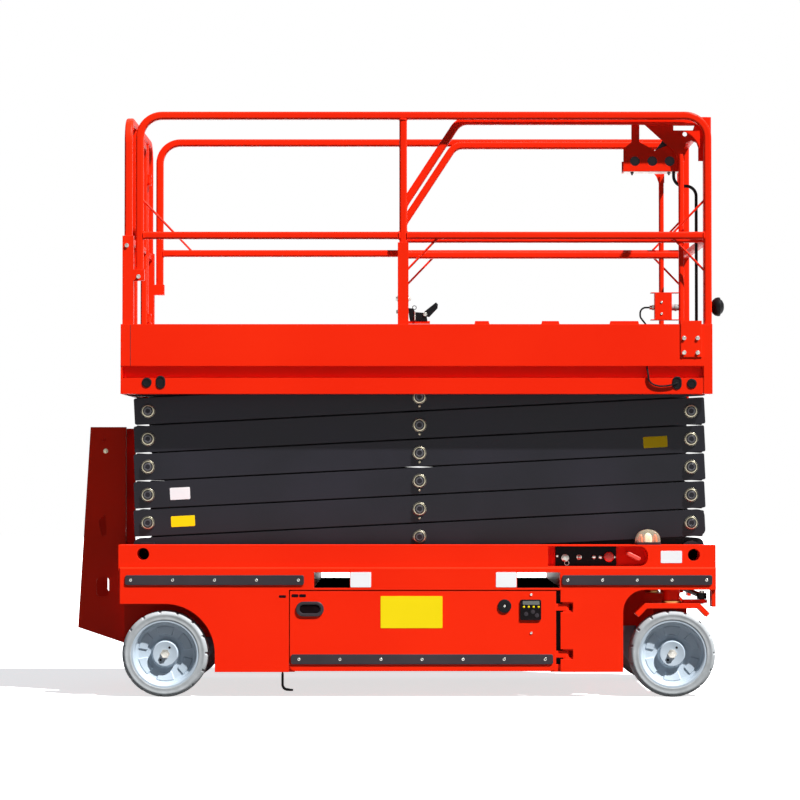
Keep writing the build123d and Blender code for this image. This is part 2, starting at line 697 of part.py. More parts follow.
# Guardrails of the main platform, with sleeves, rear frame, hinge brackets and brace rods
with BuildPart() as rails:
    for s in (-1, 1):
        y = s * RAIL_Y
        tube_xz([(POST_LEFT_X, 1870), (POST_LEFT_X, RAIL_TOP_Z), (POST_RIGHT_X, RAIL_TOP_Z),
                 (POST_RIGHT_X, LEDGE_Z1)], y, BEND_R)
        tube_xz([(POST_LEFT_X, RAIL_MID_Z), (POST_RIGHT_X, RAIL_MID_Z)], y, 0, MID_TUBE)
        tube_xz([(POST_MID_X, LEDGE_Z1), (POST_MID_X, RAIL_TOP_Z)], y, 0, POST_TUBE)
        sleeve = (s * 526, s * TOE_IN)
        slab(POST_MID_X - 24, POST_MID_X + 24, min(sleeve), max(sleeve), LEDGE_Z1, 2020)
        slab(REAR_TUBE_X - 25, REAR_TUBE_X + 24, min(sleeve), max(sleeve), LEDGE_Z1, 2050)
        slab(REAR_TUBE_X + 20, POST_LEFT_X + 22, min(sleeve), max(sleeve), 1850, 1900)
        for a, b in (((POST_LEFT_X, 2225), (POST_LEFT_X + 165, RAIL_MID_Z)),
                     ((POST_MID_X, 1880), (POST_MID_X + 165, RAIL_MID_Z)),
                     ((POST_RIGHT_X, 2225), (POST_RIGHT_X - 165, RAIL_MID_Z)),
                     ((POST_RIGHT_X, 1880), (POST_RIGHT_X - 165, RAIL_MID_Z))):
            rod_line((a[0], y, a[1]), (b[0], y, b[1]), 5)
        g = s * GATE_POST_Y
        tube_yz([(g, FLOOR_Z), (g, REAR_TOP_Z)], REAR_TUBE_X, 0, POST_TUBE)
        tube_yz([(g, 2030), (y, 2030)], REAR_TUBE_X, 0, MID_TUBE)
    tube_yz([(-RAIL_Y, 2040), (-RAIL_Y, REAR_TOP_Z), (RAIL_Y, REAR_TOP_Z), (RAIL_Y, 2040)],
            REAR_TUBE_X, BEND_R)
    # gate hinge lugs and pins
    for z in GATE_HINGE_ZS:
        for z0, z1 in ((z - 26, z - 15.5), (z + 15.5, z + 26)):
            slab(GATE_HINGE_X - 10, GATE_HINGE_X + 10, GATE_HINGE_Y - 10, GATE_POST_Y - 8, z0, z1)
        round_z(GATE_HINGE_X, GATE_HINGE_Y, 5, z - 26, z + 26)
save(rails, "guardrails")

# Entry gate between the rear posts, opens inwards
with BuildPart() as gate:
    hung = GATE_POST_Y - 60
    free = -(GATE_POST_Y - 38)
    tube_yz([(hung, 1560), (hung, 2535), (free, 2535), (free, 1560)], REAR_TUBE_X, 60, 30)
    tube_yz([(free, 2040), (hung, 2040)], REAR_TUBE_X, 0, 28)
    tube_yz([(free, 1572), (hung, 1572)], REAR_TUBE_X, 0, 29)
    for z in GATE_HINGE_ZS:
        round_z(GATE_HINGE_X, GATE_HINGE_Y, 10, z - 15, z + 15)
        slab(GATE_HINGE_X - 12, GATE_HINGE_X + 2, hung + 10, GATE_HINGE_Y - 6, z - 15, z + 15)
    for z in GATE_HINGE_ZS:
        round_z(GATE_HINGE_X, GATE_HINGE_Y, 5 + RUN, z - 16, z + 16, Mode.SUBTRACT)
save(gate, "entry_gate")

# Extension deck on slide strips, with its toe boards
with BuildPart() as ext_deck:
    slab(0, 1401, -520, 520, EXT_FLOOR_Z0, EXT_FLOOR_Z1)
    for y in (-440, 0, 440):
        slab(10, 1360, y - 12, y + 12, FLOOR_Z + SLIDE, EXT_FLOOR_Z0)
    slab(1395, 1401, -EXT_Y + FRONT_TUBE / 2, EXT_Y - FRONT_TUBE / 2, EXT_FLOOR_Z1, 1660)
save(ext_deck, "extension_deck")

# Extension rails: sloped side tubes, front frame, uprights and corner gussets
with BuildPart() as ext_rails:
    for s in (-1, 1):
        y = s * EXT_Y
        tube_xz([(EXT_REAR_X, EXT_FLOOR_Z1), (EXT_REAR_X, 2190), (271, EXT_TOP_Z),
                 (EXT_FRONT_X, EXT_TOP_Z)], y, 70)
        tube_xz([(EXT_REAR_X, EXT_MID_Z), (EXT_FRONT_X, EXT_MID_Z)], y, 0, MID_TUBE)
        tube_xz([(LEG_X, EXT_FLOOR_Z1), (LEG_X, 2420)], y, 0, LEG_TUBE)
        tube_yz([(y, EXT_FLOOR_Z1), (y, EXT_TOP_Z + 16)], EXT_FRONT_X, 0, FRONT_TUBE)
        # corner gusset with its slot, hole and arched opening between two legs
        plate_y([(1094, 2562), (1385, 2562), (1385, 2390), (1344, 2390), (1344, 2450), (1336, 2472),
                 (1313, 2482), (1290, 2472), (1282, 2450), (1282, 2390), (1255, 2390), (1244, 2420),
                 (1225, 2444)], y - 3, y + 3)
        plate_y([(1233, 2528), (1320, 2528), (1327, 2549), (1233, 2549)], y - 3, y + 3, Mode.SUBTRACT)
        round_y(1284, 2511, 10, y - 3, y + 3, Mode.SUBTRACT)
    tube_yz([(-EXT_Y, EXT_TOP_Z), (EXT_Y, EXT_TOP_Z)], EXT_FRONT_X, 0, POST_TUBE)
    tube_yz([(-EXT_Y, EXT_MID_Z), (EXT_Y, EXT_MID_Z)], EXT_FRONT_X, 0, MID_TUBE)
    # foot of the deck latch on the rear post
    slab(EXT_REAR_X + 14, 141, -EXT_Y - 10, -EXT_Y + 10, 1660, 1672)
save(ext_rails, "extension_rails")

# Control cradle hung by one strap from the extension's right-hand top rail
with BuildPart() as cradle:
    plate_y([(1046, 2586), (1082, 2586), (1082, 2479), (1149, 2439), (1226, 2470), (1262, 2440), (1276, 2394),
             (1262, 2346), (1010, 2346), (1010, 2446), (1046, 2478)], CRADLE_Y, CRADLE_Y + 4)
    slab(1010, 1262, CRADLE_Y, CRADLE_Y + 104, 2346, 2350)
    slab(1010, 1262, CRADLE_Y + 100, CRADLE_Y + 104, 2350, 2400)
    for x in (1062, 1140, 1218):
        round_y(x, 2392, 22, CRADLE_Y - 1, CRADLE_Y + 5, Mode.SUBTRACT)
save(cradle, "control_cradle")

# Control console in the cradle, with the hand grip on top
with BuildPart() as console:
    slab(1018, 1254, CRADLE_Y + 8, CRADLE_Y + 96, 2350, 2440)
    plate_y([(1154, 2440), (1230, 2440), (1230, 2493), (1192, 2493)], CRADLE_Y + 30, CRADLE_Y + 75)
save(console, "control_console")

# Outlet box on the extension's front leg, with its two thin plates and the cable gland
with BuildPart() as outlet:
    slab(1147, 1223, -520, -470, 1679, 1797)
    for z0, z1 in ((1676, 1679), (1797, 1800)):
        slab(1130, LEG_X - LEG_TUBE / 2, -520, -470, z0, z1)
    round_x(-495, 1733, 9, 1126, 1147)
    round_x(-495, 1733, 11, 1223, LEG_X - LEG_TUBE / 2)
save(outlet, "outlet_box")

# Hose from the cradle floor to the deck, and the loop of cable from the outlet box to the deck
with BuildPart() as cables:
    with BuildLine(xz(HOSE_Y)) as hose:
        FilletPolyline((1236, 2346), (1236, 2280), (1337, 2280), (1337, EXT_FLOOR_Z1), radius=45)
    with BuildSketch(Plane(origin=hose.line @ 0, z_dir=hose.line % 0)) as bore:
        Circle(HOSE_R)
    sweep(bore.sketch, path=hose.line)
    with BuildLine(xz(-495)) as loop:
        FilletPolyline((1126, 1733), (1083, 1733), (1083, 1690), (1122, 1640), (1122, EXT_FLOOR_Z1),
                       radius=26)
    with BuildSketch(Plane(origin=loop.line @ 0, z_dir=loop.line % 0)) as core:
        Circle(CABLE_R)
    sweep(core.sketch, path=loop.line)
save(cables, "extension_cables")

# Cable from under the toe board to the grommet in the platform's side beam
with BuildPart() as beam_cable:
    with BuildLine() as route:
        Bezier((1107, -561, 1476), (1107, -561, 1450), (1110, -581, 1450), (1112, -581, 1420))
        Bezier((1112, -581, 1420), (1114.4, -581, 1384), (1150, -582, 1374), (1196, -582, 1380))
        Bezier((1196, -582, 1380), (1219, -582, 1383), (1240, -586, 1393), (1240, -575, 1393))
    with BuildSketch(Plane(origin=route.line @ 0, z_dir=route.line % 0)) as core:
        Circle(CABLE_R)
    sweep(core.sketch, path=route.line)
save(beam_cable, "beam_cable")

# Deck latch: body on its foot and the paddle raised from its pivot
with BuildPart() as latch:
    plate_y([(52, 1672), (130, 1672), (124, 1708), (74, 1712), (68, 1728), (44, 1730), (48, 1690)],
            -512, -488)
    plate_y([(108, 1696), (118, 1716), (168, 1756), (177, 1747), (175, 1729), (138, 1690)], -508, -494)
save(latch, "deck_latch")

# Horn on the extension's front frame
with BuildPart() as horn:
    round_x(-EXT_Y, 1741, 14, EXT_FRONT_X + FRONT_TUBE / 2, 1430)
    round_x(-EXT_Y, 1741, 43, 1430, 1458)
save(horn, "front_horn")
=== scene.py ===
"""Looks of the electric slab scissor lift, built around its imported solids.

Metres, in the solids' own frame: X to the steered wheels, Z up, the right-hand side at minus Y.
"""
import math

import bmesh
import bpy
import numpy as np
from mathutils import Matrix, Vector


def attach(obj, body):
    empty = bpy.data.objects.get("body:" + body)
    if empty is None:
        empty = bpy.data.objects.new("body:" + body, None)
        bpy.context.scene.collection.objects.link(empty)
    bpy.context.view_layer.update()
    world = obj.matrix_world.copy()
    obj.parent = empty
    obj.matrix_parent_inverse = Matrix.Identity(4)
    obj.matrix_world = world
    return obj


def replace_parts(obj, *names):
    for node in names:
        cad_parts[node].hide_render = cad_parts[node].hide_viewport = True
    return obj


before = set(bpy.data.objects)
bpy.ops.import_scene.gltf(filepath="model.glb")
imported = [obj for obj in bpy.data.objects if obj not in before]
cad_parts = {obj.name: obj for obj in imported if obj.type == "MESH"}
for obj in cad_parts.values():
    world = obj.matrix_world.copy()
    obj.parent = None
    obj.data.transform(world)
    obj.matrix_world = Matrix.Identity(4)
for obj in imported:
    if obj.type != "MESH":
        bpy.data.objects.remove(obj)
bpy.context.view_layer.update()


# Chassis and side frames.
# Welded plate and folded sheet, powder coated in one signal red; the scissor's lugs and tracks on the deck
# have the charcoal paint of the arms.
def linear(hex_colour):
    """sRGB hex to the linear colour the shader works in."""
    srgb = np.array([int(hex_colour[i:i + 2], 16) for i in (1, 3, 5)]) / 255.0
    low = srgb / 12.92
    high = ((srgb + 0.055) / 1.055) ** 2.4
    return tuple(np.where(srgb <= 0.04045, low, high)) + (1.0,)


def node(tree, kind, settings=(), links=()):
    """Add one shader node, set its properties and sockets, and link inputs to (node, output) pairs."""
    made = tree.nodes.new(kind)
    for key, value in dict(settings).items():
        if isinstance(key, str) and hasattr(made, key):
            setattr(made, key, value)
        else:
            made.inputs[key].default_value = value
    for key, (source, output) in dict(links).items():
        tree.links.new(source.outputs[output], made.inputs[key])
    return made


ROUGH_SWING = 0.06
GRAIN_DEPTH = 0.001


def surface(name, colours, patch, grain, rough, metallic=0.0, coat=0.0, bump=0.0, edge=0.002,
            wear_and_highlight=None, shine=0.5):
    """One surface: two near shades mixed by a soft noise of a given patch size in metres, roughness that
    wavers around a mean, a grain bump of a given size, edges rounded over a given radius and, where an edge
    shade is given, a thin broken line of it along the edges, partly wear and partly a painted edge highlight;
    shine is the strength of the mirrored light."""
    material = bpy.data.materials.new(name)
    material.use_nodes = True
    tree = material.node_tree
    shader = tree.nodes["Principled BSDF"]
    place = node(tree, "ShaderNodeTexCoord")
    cloud = node(tree, "ShaderNodeTexNoise", {"Scale": 1.0 / patch, "Detail": 4.0},
                 {"Vector": (place, "Object")})
    shades = node(tree, "ShaderNodeValToRGB", {}, {"Fac": (cloud, "Fac")})
    for stop, spot, colour in zip(shades.color_ramp.elements, (0.35, 0.65), colours):
        stop.position = spot
        stop.color = linear(colour)
    round_edge = node(tree, "ShaderNodeBevel", {"samples": 4, "Radius": edge})
    tint = shades.outputs["Color"]
    # The paler edge line stands partly for wear and partly for a painted edge highlight.
    if wear_and_highlight:
        flat = node(tree, "ShaderNodeNewGeometry")
        turn = node(tree, "ShaderNodeVectorMath", {"operation": "DOT_PRODUCT"},
                    {0: (round_edge, "Normal"), 1: (flat, "Normal")})
        line = node(tree, "ShaderNodeMapRange", {"From Min": 0.97, "From Max": 0.75, "To Max": 0.9},
                    {"Value": (turn, "Value")})
        broken = node(tree, "ShaderNodeMath", {"operation": "MULTIPLY"},
                      {0: (line, "Result"), 1: (cloud, "Fac")})
        mixed = node(tree, "ShaderNodeMix", {"data_type": "RGBA", 7: linear(wear_and_highlight)},
                     {0: (broken, "Value"), 6: (shades, "Color")})
        tint = mixed.outputs[2]
    tree.links.new(tint, shader.inputs["Base Color"])
    spread = node(tree, "ShaderNodeMapRange", {"To Min": rough - ROUGH_SWING, "To Max": rough + ROUGH_SWING},
                  {"Value": (cloud, "Fac")})
    tree.links.new(spread.outputs["Result"], shader.inputs["Roughness"])
    fine = node(tree, "ShaderNodeTexNoise", {"Scale": 1.0 / grain, "Detail": 2.0},
                {"Vector": (place, "Object")})
    relief = node(tree, "ShaderNodeBump", {"Strength": bump, "Distance": GRAIN_DEPTH},
                  {"Height": (fine, "Fac"), "Normal": (round_edge, "Normal")})
    tree.links.new(relief.outputs["Normal"], shader.inputs["Normal"])
    shader.inputs["Metallic"].default_value = metallic
    shader.inputs["Coat Weight"].default_value = coat
    shader.inputs["Specular IOR Level"].default_value = shine
    return material


def paint(material, *names):
    """Give carried-over solids their finish."""
    for name in names:
        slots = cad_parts[name].data.materials
        slots.clear()
        slots.append(material)


# Baked powder: even strong colour, soft gloss with a 6 mm orange peel, and a slightly paler line on sharp edges
# that is a painted edge highlight.
RED_POWDER = surface("powder_coat_red", ("#f42404", "#fa2a06"), 0.9, 0.006, 0.40, bump=0.03,
                     wear_and_highlight="#ff5434", shine=0.12)
# Sprayed enamel: nearly black, slightly cool, duller than the powder, and grey on the edges, partly scuffed and
# partly a painted highlight.
CHARCOAL_PAINT = surface("sprayed_enamel_charcoal", ("#17171c", "#201f26"), 0.5, 0.005, 0.42, bump=0.09,
                         wear_and_highlight="#4c4c54", shine=0.16)
paint(RED_POWDER, "chassis_tub", "side_rails", "side_plates")
paint(CHARCOAL_PAINT, "scissor_anchors")


# Blank plates.
# Thin self-adhesive vinyl plates in white and yellow, left bare: three on the chassis, one on the right-hand
# tray door and three on the scissor arms, which lie along the arm.
def facing(*normal):
    """Three axes for a piece: its z along the normal and its y as near upright as that allows."""
    out = np.array(normal, float) / np.linalg.norm(normal)
    hint = np.array([0, 1.0, 0]) if abs(out[2]) > 0.99 else np.array([0, 0, 1.0])
    across = np.cross(hint, out)
    across /= np.linalg.norm(across)
    return across, np.cross(out, across), out


def turned(axes, degrees):
    """The same axes turned about their own z."""
    c, s = math.cos(math.radians(degrees)), math.sin(math.radians(degrees))
    return c * axes[0] + s * axes[1], c * axes[1] - s * axes[0], axes[2]


RIGHT = facing(0, -1, 0)
LEFT = facing(0, 1, 0)
FRONT = facing(1, 0, 0)
REAR = facing(-1, 0, 0)
UP = facing(0, 0, 1)
DOWN = facing(0, 0, -1)
SIDES = ((-1, RIGHT, "right"), (1, LEFT, "left"))


def shell(local, places, axes, caps=True):
    """Copies of a local ruled surface (rings, points, 3) carried to each place along three axes: points run
    round each ring, neighbouring rings are joined by quads and the end rings closed by flat caps."""
    grid = (local @ np.stack(axes))[None] + np.asarray(places, float)[:, None, None, :]
    copies, rings, points = grid.shape[:3]
    index = np.arange(copies * rings * points).reshape(copies, rings, points)
    turn = np.roll(index, -1, axis=2)
    quads = np.stack([index[:, :-1], turn[:, :-1], turn[:, 1:], index[:, 1:]], axis=-1)
    faces = quads.reshape(-1, 4).tolist()
    if caps:
        faces += index[:, 0, ::-1].tolist() + index[:, -1].tolist()
    return grid.reshape(-1, 3), faces


def add_piece(name, body, shells, material, sharp=35.0):
    """Put computed surfaces into the scene as one mesh, smooth except across edges sharper than an angle,
    riding on a body."""
    shifts = np.cumsum([0] + [len(verts) for verts, faces in shells])
    points = np.concatenate([verts for verts, faces in shells]).tolist()
    polygons = [[i + shift for i in face] for (verts, faces), shift in zip(shells, shifts) for face in faces]
    mesh = bpy.data.meshes.new(name)
    mesh.from_pydata(points, [], polygons)
    clean = bmesh.new()
    clean.from_mesh(mesh)
    bmesh.ops.remove_doubles(clean, verts=clean.verts, dist=1e-6)
    bmesh.ops.recalc_face_normals(clean, faces=clean.faces)
    clean.to_mesh(mesh)
    clean.free()
    mesh.shade_smooth()
    mesh.set_sharp_from_angle(angle=math.radians(sharp))
    mesh.materials.append(material)
    piece = bpy.data.objects.new(name, mesh)
    bpy.context.scene.collection.objects.link(piece)
    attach(piece, body)
    return piece


def put(name, body, local, places, axes, material, caps=True, sharp=35.0):
    """One local surface at each place, as one piece."""
    return add_piece(name, body, [shell(local, places, axes, caps)], material, sharp)


def rounded_outline(width, height, radius, steps=6):
    """A rectangle with quarter-circle corners, walked once round."""
    quarter = np.linspace(0, math.pi / 2, steps)
    angles = np.concatenate([quarter + k * math.pi / 2 for k in range(4)])
    corner = np.repeat([[1, 1], [-1, 1], [-1, -1], [1, -1]], steps, axis=0)
    centre = corner * np.array([width / 2 - radius, height / 2 - radius])
    return centre + radius * np.stack([np.cos(angles), np.sin(angles)], axis=1)


def stack(*rings):
    """Outlines of equal count, each at its own height, laid one over the other."""
    return np.stack([np.column_stack([ring, np.full(len(ring), level)]) for ring, level in rings])


def rounded_stack(*rings):
    """A stack of rounded rectangles, each given as width, height, corner radius and level."""
    return stack(*[(rounded_outline(*size), level) for *size, level in rings])


def plaque(width, height, radius, thick, chamfer):
    """A flat plate: its outline carried up the thickness, then drawn in by the chamfer."""
    return rounded_stack((width, height, radius, 0.0), (width, height, radius, thick - chamfer),
                         (width - 2 * chamfer, height - 2 * chamfer, max(radius - chamfer, 1e-4), thick))


# Distances of the outer faces from the middle plane, and the slope of the stowed arms in degrees.
PLATE_FACE = 0.617
RAIL_FACE = 0.609
ARM_FACE = 0.470
ARM_TILT = 2.946
# Printed film: satin and even, with a faint unevenness where it lies on the paint.
WHITE_VINYL = surface("vinyl_film_white", ("#f0f0f1", "#f6f6f7"), 0.3, 0.004, 0.45, bump=0.03,
                      edge=0.0004, shine=0.3)
YELLOW_VINYL = surface("vinyl_film_yellow", ("#f5da06", "#fade0a"), 0.3, 0.004, 0.45, bump=0.03,
                       edge=0.0004, shine=0.2)
ALONG_ARM = turned(RIGHT, ARM_TILT)
for label, body, x0, x1, z0, z1, face, axes, vinyl in (
        ("rail_plate", "chassis", 1.163, 1.257, 0.593, 0.647, RAIL_FACE, RIGHT, WHITE_VINYL),
        ("fork_plate_rear", "chassis", -0.213, -0.121, 0.486, 0.553, PLATE_FACE, RIGHT, WHITE_VINYL),
        ("fork_plate_front", "chassis", 0.432, 0.523, 0.486, 0.553, PLATE_FACE, RIGHT, WHITE_VINYL),
        ("door_plate", "tray_right", -0.079, 0.195, 0.305, 0.447, PLATE_FACE, RIGHT, YELLOW_VINYL),
        ("arm_plate_2", "outer_2", -1.019, -0.912, 0.752, 0.800, ARM_FACE, ALONG_ARM, YELLOW_VINYL),
        ("arm_plate_3", "outer_3", -1.024, -0.934, 0.873, 0.927, ARM_FACE, ALONG_ARM, WHITE_VINYL),
        ("arm_plate_4", "outer_4", 1.098, 1.206, 1.106, 1.156, ARM_FACE, ALONG_ARM, YELLOW_VINYL)):
    put(label, body, plaque(x1 - x0, z1 - z0, 0.004, 0.0008, 0.0003),
        [((x0 + x1) / 2, -face, (z0 + z1) / 2)], axes, vinyl)


# Guard strips.
# Extruded black nylon rubbing strips along both sides, each held by countersunk screws at an even pitch.
MILLIMETRE = 0.001


def lathe(profile, turns=24):
    """Radius and height pairs, in millimetres as on a turner's drawing, turned about the local z axis."""
    angles = np.arange(turns) * 2 * math.pi / turns
    spin = np.stack([np.cos(angles), np.sin(angles), np.ones(turns)], axis=1)
    return np.asarray(profile, float)[:, None, [0, 0, 1]] * spin[None] * MILLIMETRE


# Moulded nylon: dark warm grey, dull sheen and a fine pebbled grain; a paler line on the edges is partly wear and
# partly a painted highlight.
BLACK_NYLON = surface("nylon_black", ("#231e23", "#2f292e"), 0.25, 0.003, 0.46, bump=0.12, edge=0.001,
                      wear_and_highlight="#4c464a", shine=0.2)
# Zinc plate: pale warm metal, bright but not polished.
ZINC = surface("zinc_plated_steel", ("#96958f", "#b4b2ab"), 0.03, 0.002, 0.36, metallic=1.0, bump=0.05)
STRIP_THICK = 0.0058
STRIP_HIGH = 0.044
STRIP_SPANS = ((-1.211, -0.418, 5), (0.725, 1.390, 5))
STRIP_Z = 0.518
SCREW = lathe([(7.8, -2), (7.8, 0), (6.2, 2.4), (3.2, 3), (3, 1.6), (0.4, 1.6)], 16)
SCREW_INSET = 0.025
SUNK = 0.0018
SCREW_FACE = PLATE_FACE + STRIP_THICK - SUNK


def rubbing_strip(length):
    """A flat bar: its rounded outline carried up the thickness and drawn in twice towards the face."""
    return rounded_stack((length, STRIP_HIGH, 0.010, 0.0), (length, STRIP_HIGH, 0.010, STRIP_THICK - 0.0022),
                         (length - 0.004, STRIP_HIGH - 0.004, 0.008, STRIP_THICK - 0.0002),
                         (length - 0.016, STRIP_HIGH - 0.016, 0.004, STRIP_THICK))


strips = []
for side, axes, hand in SIDES:
    screws = []
    for x0, x1, count in STRIP_SPANS:
        strips.append(shell(rubbing_strip(x1 - x0), [((x0 + x1) / 2, side * PLATE_FACE, STRIP_Z)], axes))
        screws += [(x, side * SCREW_FACE, STRIP_Z) for x in np.linspace(x0 + SCREW_INSET, x1 - SCREW_INSET, count)]
    put("strip_screws_" + hand, "chassis", SCREW, screws, axes, ZINC)
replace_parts(add_piece("rubbing_strips", "chassis", strips, BLACK_NYLON), "guard_strips")


# Ground controls.
# A black laminate panel screwed into the recess of the rail, with a key switch and its key, a toggle, two lamps
# and a mushroom stop button; the red release lever stands on its foot at the rounded end.
def closed(rings):
    """Rings joined back to the first one."""
    return np.concatenate([rings, rings[:1]])


def hoop(outline, thick, sides=8, ripple=0.0):
    """A round bead carried once round a closed outline in the local plane, swelling and shrinking by a
    ripple."""
    count = len(outline)
    ahead = np.roll(outline, -1, axis=0) - np.roll(outline, 1, axis=0)
    ahead /= np.linalg.norm(ahead, axis=1, keepdims=True)
    outward = np.column_stack([ahead[:, 1], -ahead[:, 0]])
    swell = thick * (1 + ripple * np.sin(np.arange(count) * 2.4))[:, None]
    angle = np.arange(sides) * 2 * math.pi / sides
    flat = outline[:, None] + outward[:, None] * (swell * np.cos(angle))[..., None]
    return closed(np.concatenate([flat, (swell * np.sin(angle))[..., None]], axis=-1))


def circle(radius, count=24):
    """A round outline."""
    angle = np.arange(count) * 2 * math.pi / count
    return radius * np.column_stack([np.cos(angle), np.sin(angle)])


# Laminate: flat black with a faint linen grain.
LAMINATE = surface("phenolic_laminate_black", ("#0e0b0d", "#161214"), 0.1, 0.002, 0.46, bump=0.05,
                   edge=0.0008, shine=0.05)
# Moulded plastic in signal red: even colour, soft gloss.
STOP_RED = surface("moulded_plastic_red", ("#e23a2e", "#ee4a3a"), 0.05, 0.002, 0.35, bump=0.02)
PANEL_FACE = -0.557
PANEL_THICK = 0.008
panel = put("ground_panel", "chassis", plaque(0.271, 0.089, 0.004, PANEL_THICK, 0.0015),
            [(0.8335, PANEL_FACE + PANEL_THICK, 0.6225)], RIGHT, LAMINATE)
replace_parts(panel, "ground_controls")
STOP_BUTTON = lathe([(15, 0), (15, 8), (22.5, 11), (22.5, 18), (18, 23.5), (8, 26), (0.4, 26.2)])
switch = lathe([(17, 0), (17, 4), (12.5, 6), (12.5, 14), (9, 16), (0.4, 16)])
toggle = lathe([(12, 0), (12, 4), (6, 8), (4.2, 21), (2, 23), (0.3, 23)])
pilot = lathe([(10, 0), (10, 3), (8.5, 7), (5, 9.5), (0.4, 10)])
head = lathe([(6, 0), (6, 2), (4.5, 3.5), (0.4, 4)])
for label, knob, spots, material in (("key_switch", switch, [(0.742, 0.614)], ZINC),
                                     ("toggle_switch", toggle, [(0.804, 0.618)], ZINC),
                                     ("panel_lamps", pilot, [(0.870, 0.618), (0.899, 0.617)], ZINC),
                                     ("panel_screws", head, [(0.7065, 0.6225), (0.961, 0.618)], ZINC),
                                     ("stop_button", STOP_BUTTON, [(0.936, 0.619)], STOP_RED)):
    put(label, "chassis", knob, [(x, PANEL_FACE, z) for x, z in spots], RIGHT, material)
blade = plaque(0.011, 0.024, 0.005, 0.0025, 0.0006)
key = [shell(blade, [(0.744, PANEL_FACE - 0.016, 0.610)], turned(RIGHT, 35)),
       shell(hoop(circle(0.010), 0.0011), [(0.748, PANEL_FACE - 0.018, 0.592)], RIGHT, caps=False)]
add_piece("switch_key", "chassis", key, ZINC)
lever = plaque(0.066, 0.019, 0.008, 0.010, 0.003)
foot = lathe([(10, 0), (8.5, 4), (8.5, 42)], 16)
add_piece("release_lever", "chassis", [shell(lever, [(1.044, -0.590, 0.622)], turned(RIGHT, -27)),
                                       shell(foot, [(1.022, -0.549, 0.635)], RIGHT)], STOP_RED)


# Beacon.
# A clear polycarbonate dome over a frosted bulb between two amber flanks, on a black base screwed to the rail.
def dome(width, depth, high, rings=14):
    """A rounded-rectangle plan that shrinks by a superellipse with height."""
    level = np.linspace(0, 1, rings)
    shrink = np.maximum((1 - level ** 2.6) ** 0.5, 0.05)
    return stack(*[(rounded_outline(width * s, depth * s, depth * s * 0.45, 8), high * t)
                   for s, t in zip(shrink, level)])


# Dyed plastic: strong warm orange, soft gloss.
AMBER = surface("polycarbonate_amber", ("#dd5a02", "#ea6c08"), 0.03, 0.01, 0.30, bump=0.02)
# Clear plastic gone slightly yellow: pale cream, glossy, mostly see-through so that the lamp shows inside it.
CLEAR = surface("polycarbonate_clear", ("#f6e9c4", "#fbf1d6"), 0.03, 0.01, 0.14, bump=0.02)
CLEAR.node_tree.nodes["Principled BSDF"].inputs["Alpha"].default_value = 0.24
# Frosted glass: warm white and dull.
CLEAR_BULB = surface("frosted_glass", ("#fbf0c0", "#fdf5d2"), 0.03, 0.01, 0.35, bump=0.02)
BEACON_X = 1.110
BEACON_Y = -0.555
LENS_Z = 0.6845
BASE_Z = 0.673
lens = put("beacon_lens", "chassis", dome(0.113, 0.039, 0.0573), [(BEACON_X, BEACON_Y, LENS_Z)], UP, CLEAR,
           sharp=50)
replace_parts(lens, "beacon")
flanks = [(BEACON_X + dx, BEACON_Y, LENS_Z) for dx in (-0.032, 0.032)]
put("beacon_flanks", "chassis", dome(0.022, 0.028, 0.036), flanks, UP, AMBER, sharp=50)
put("beacon_bulb", "chassis", dome(0.040, 0.026, 0.042), [(BEACON_X, BEACON_Y, LENS_Z)], UP, CLEAR_BULB,
    sharp=50)
put("beacon_base", "chassis", plaque(0.115, 0.040, 0.018, 0.0115, 0.002), [(1.1105, BEACON_Y, BASE_Z)], UP,
    BLACK_NYLON)


# Earth strap and slots.
# A short black rubber strap with a weighted end hangs under the chassis; three narrow drain slots punched through
# the sheet beside the door's upper corner are drawn as thin black plates on it, painted shade for the openings.
def rod(path, radius, sides=10):
    """A round section carried along a path of points: each ring stands square to the path's direction there."""
    path = np.asarray(path, float)
    along = np.gradient(path, axis=0)
    along /= np.linalg.norm(along, axis=1, keepdims=True)
    across = np.cross(along, np.array([0.31, 0.86, 0.40]))
    across /= np.linalg.norm(across, axis=1, keepdims=True)
    angle = np.arange(sides)[None, :, None] * 2 * math.pi / sides
    ring = np.cos(angle) * across[:, None] + np.sin(angle) * np.cross(along, across)[:, None]
    return path[:, None] + np.reshape(radius, (-1, 1, 1)) * ring


# Cured rubber: black, matt, slightly dusty.
BLACK_RUBBER = surface("cured_rubber_black", ("#0d0c0e", "#151416"), 0.05, 0.002, 0.66, bump=0.15,
                       edge=0.001, shine=0.1)
# Flat near black without any sheen: painted shade for the dark inside of holes, slots and pockets.
SHADE_BLACK = surface("painted_shade_black", ("#160e10", "#20161a"), 0.08, 0.004, 0.94, bump=0.2, shine=0.0)
# Oxidised steel: near black with a dull metallic glint.
DARK_STEEL = surface("black_oxide_steel", ("#1b1a1c", "#262527"), 0.02, 0.002, 0.45, metallic=0.6, bump=0.05)
STRAP_Y = -0.560
BEND_R = 0.022
bend = np.linspace(0, math.pi / 2, 8)
drop_x = np.concatenate([np.full(6, -0.515), -0.493 - BEND_R * np.cos(bend), [-0.480, -0.468]])
drop_z = np.concatenate([np.linspace(0.126, 0.056, 6), 0.052 - BEND_R * np.sin(bend), [0.0285, 0.028]])
hang = np.column_stack([drop_x, np.full(len(drop_x), STRAP_Y), drop_z])
girth = np.interp(np.arange(len(hang)), [0, 1, 2, 13, 15], [0.0024, 0.0026, 0.0056, 0.0062, 0.0045])
put("earth_strap", "chassis", rod(hang, girth), [(0, 0, 0)], UP, BLACK_RUBBER)
# Painted shade: dark plates where the slots open through the sheet.
put("plate_slot_shade", "chassis", plaque(0.031, 0.011, 0.004, 0.0006, 0.0002), [(-0.5135, -PLATE_FACE, 0.4455)],
    RIGHT, SHADE_BLACK)
put("door_slot_shades", "tray_right", plaque(0.030, 0.013, 0.004, 0.0006, 0.0002),
    [(x, -PLATE_FACE, 0.449) for x in (-0.458, -0.4245)], RIGHT, SHADE_BLACK)
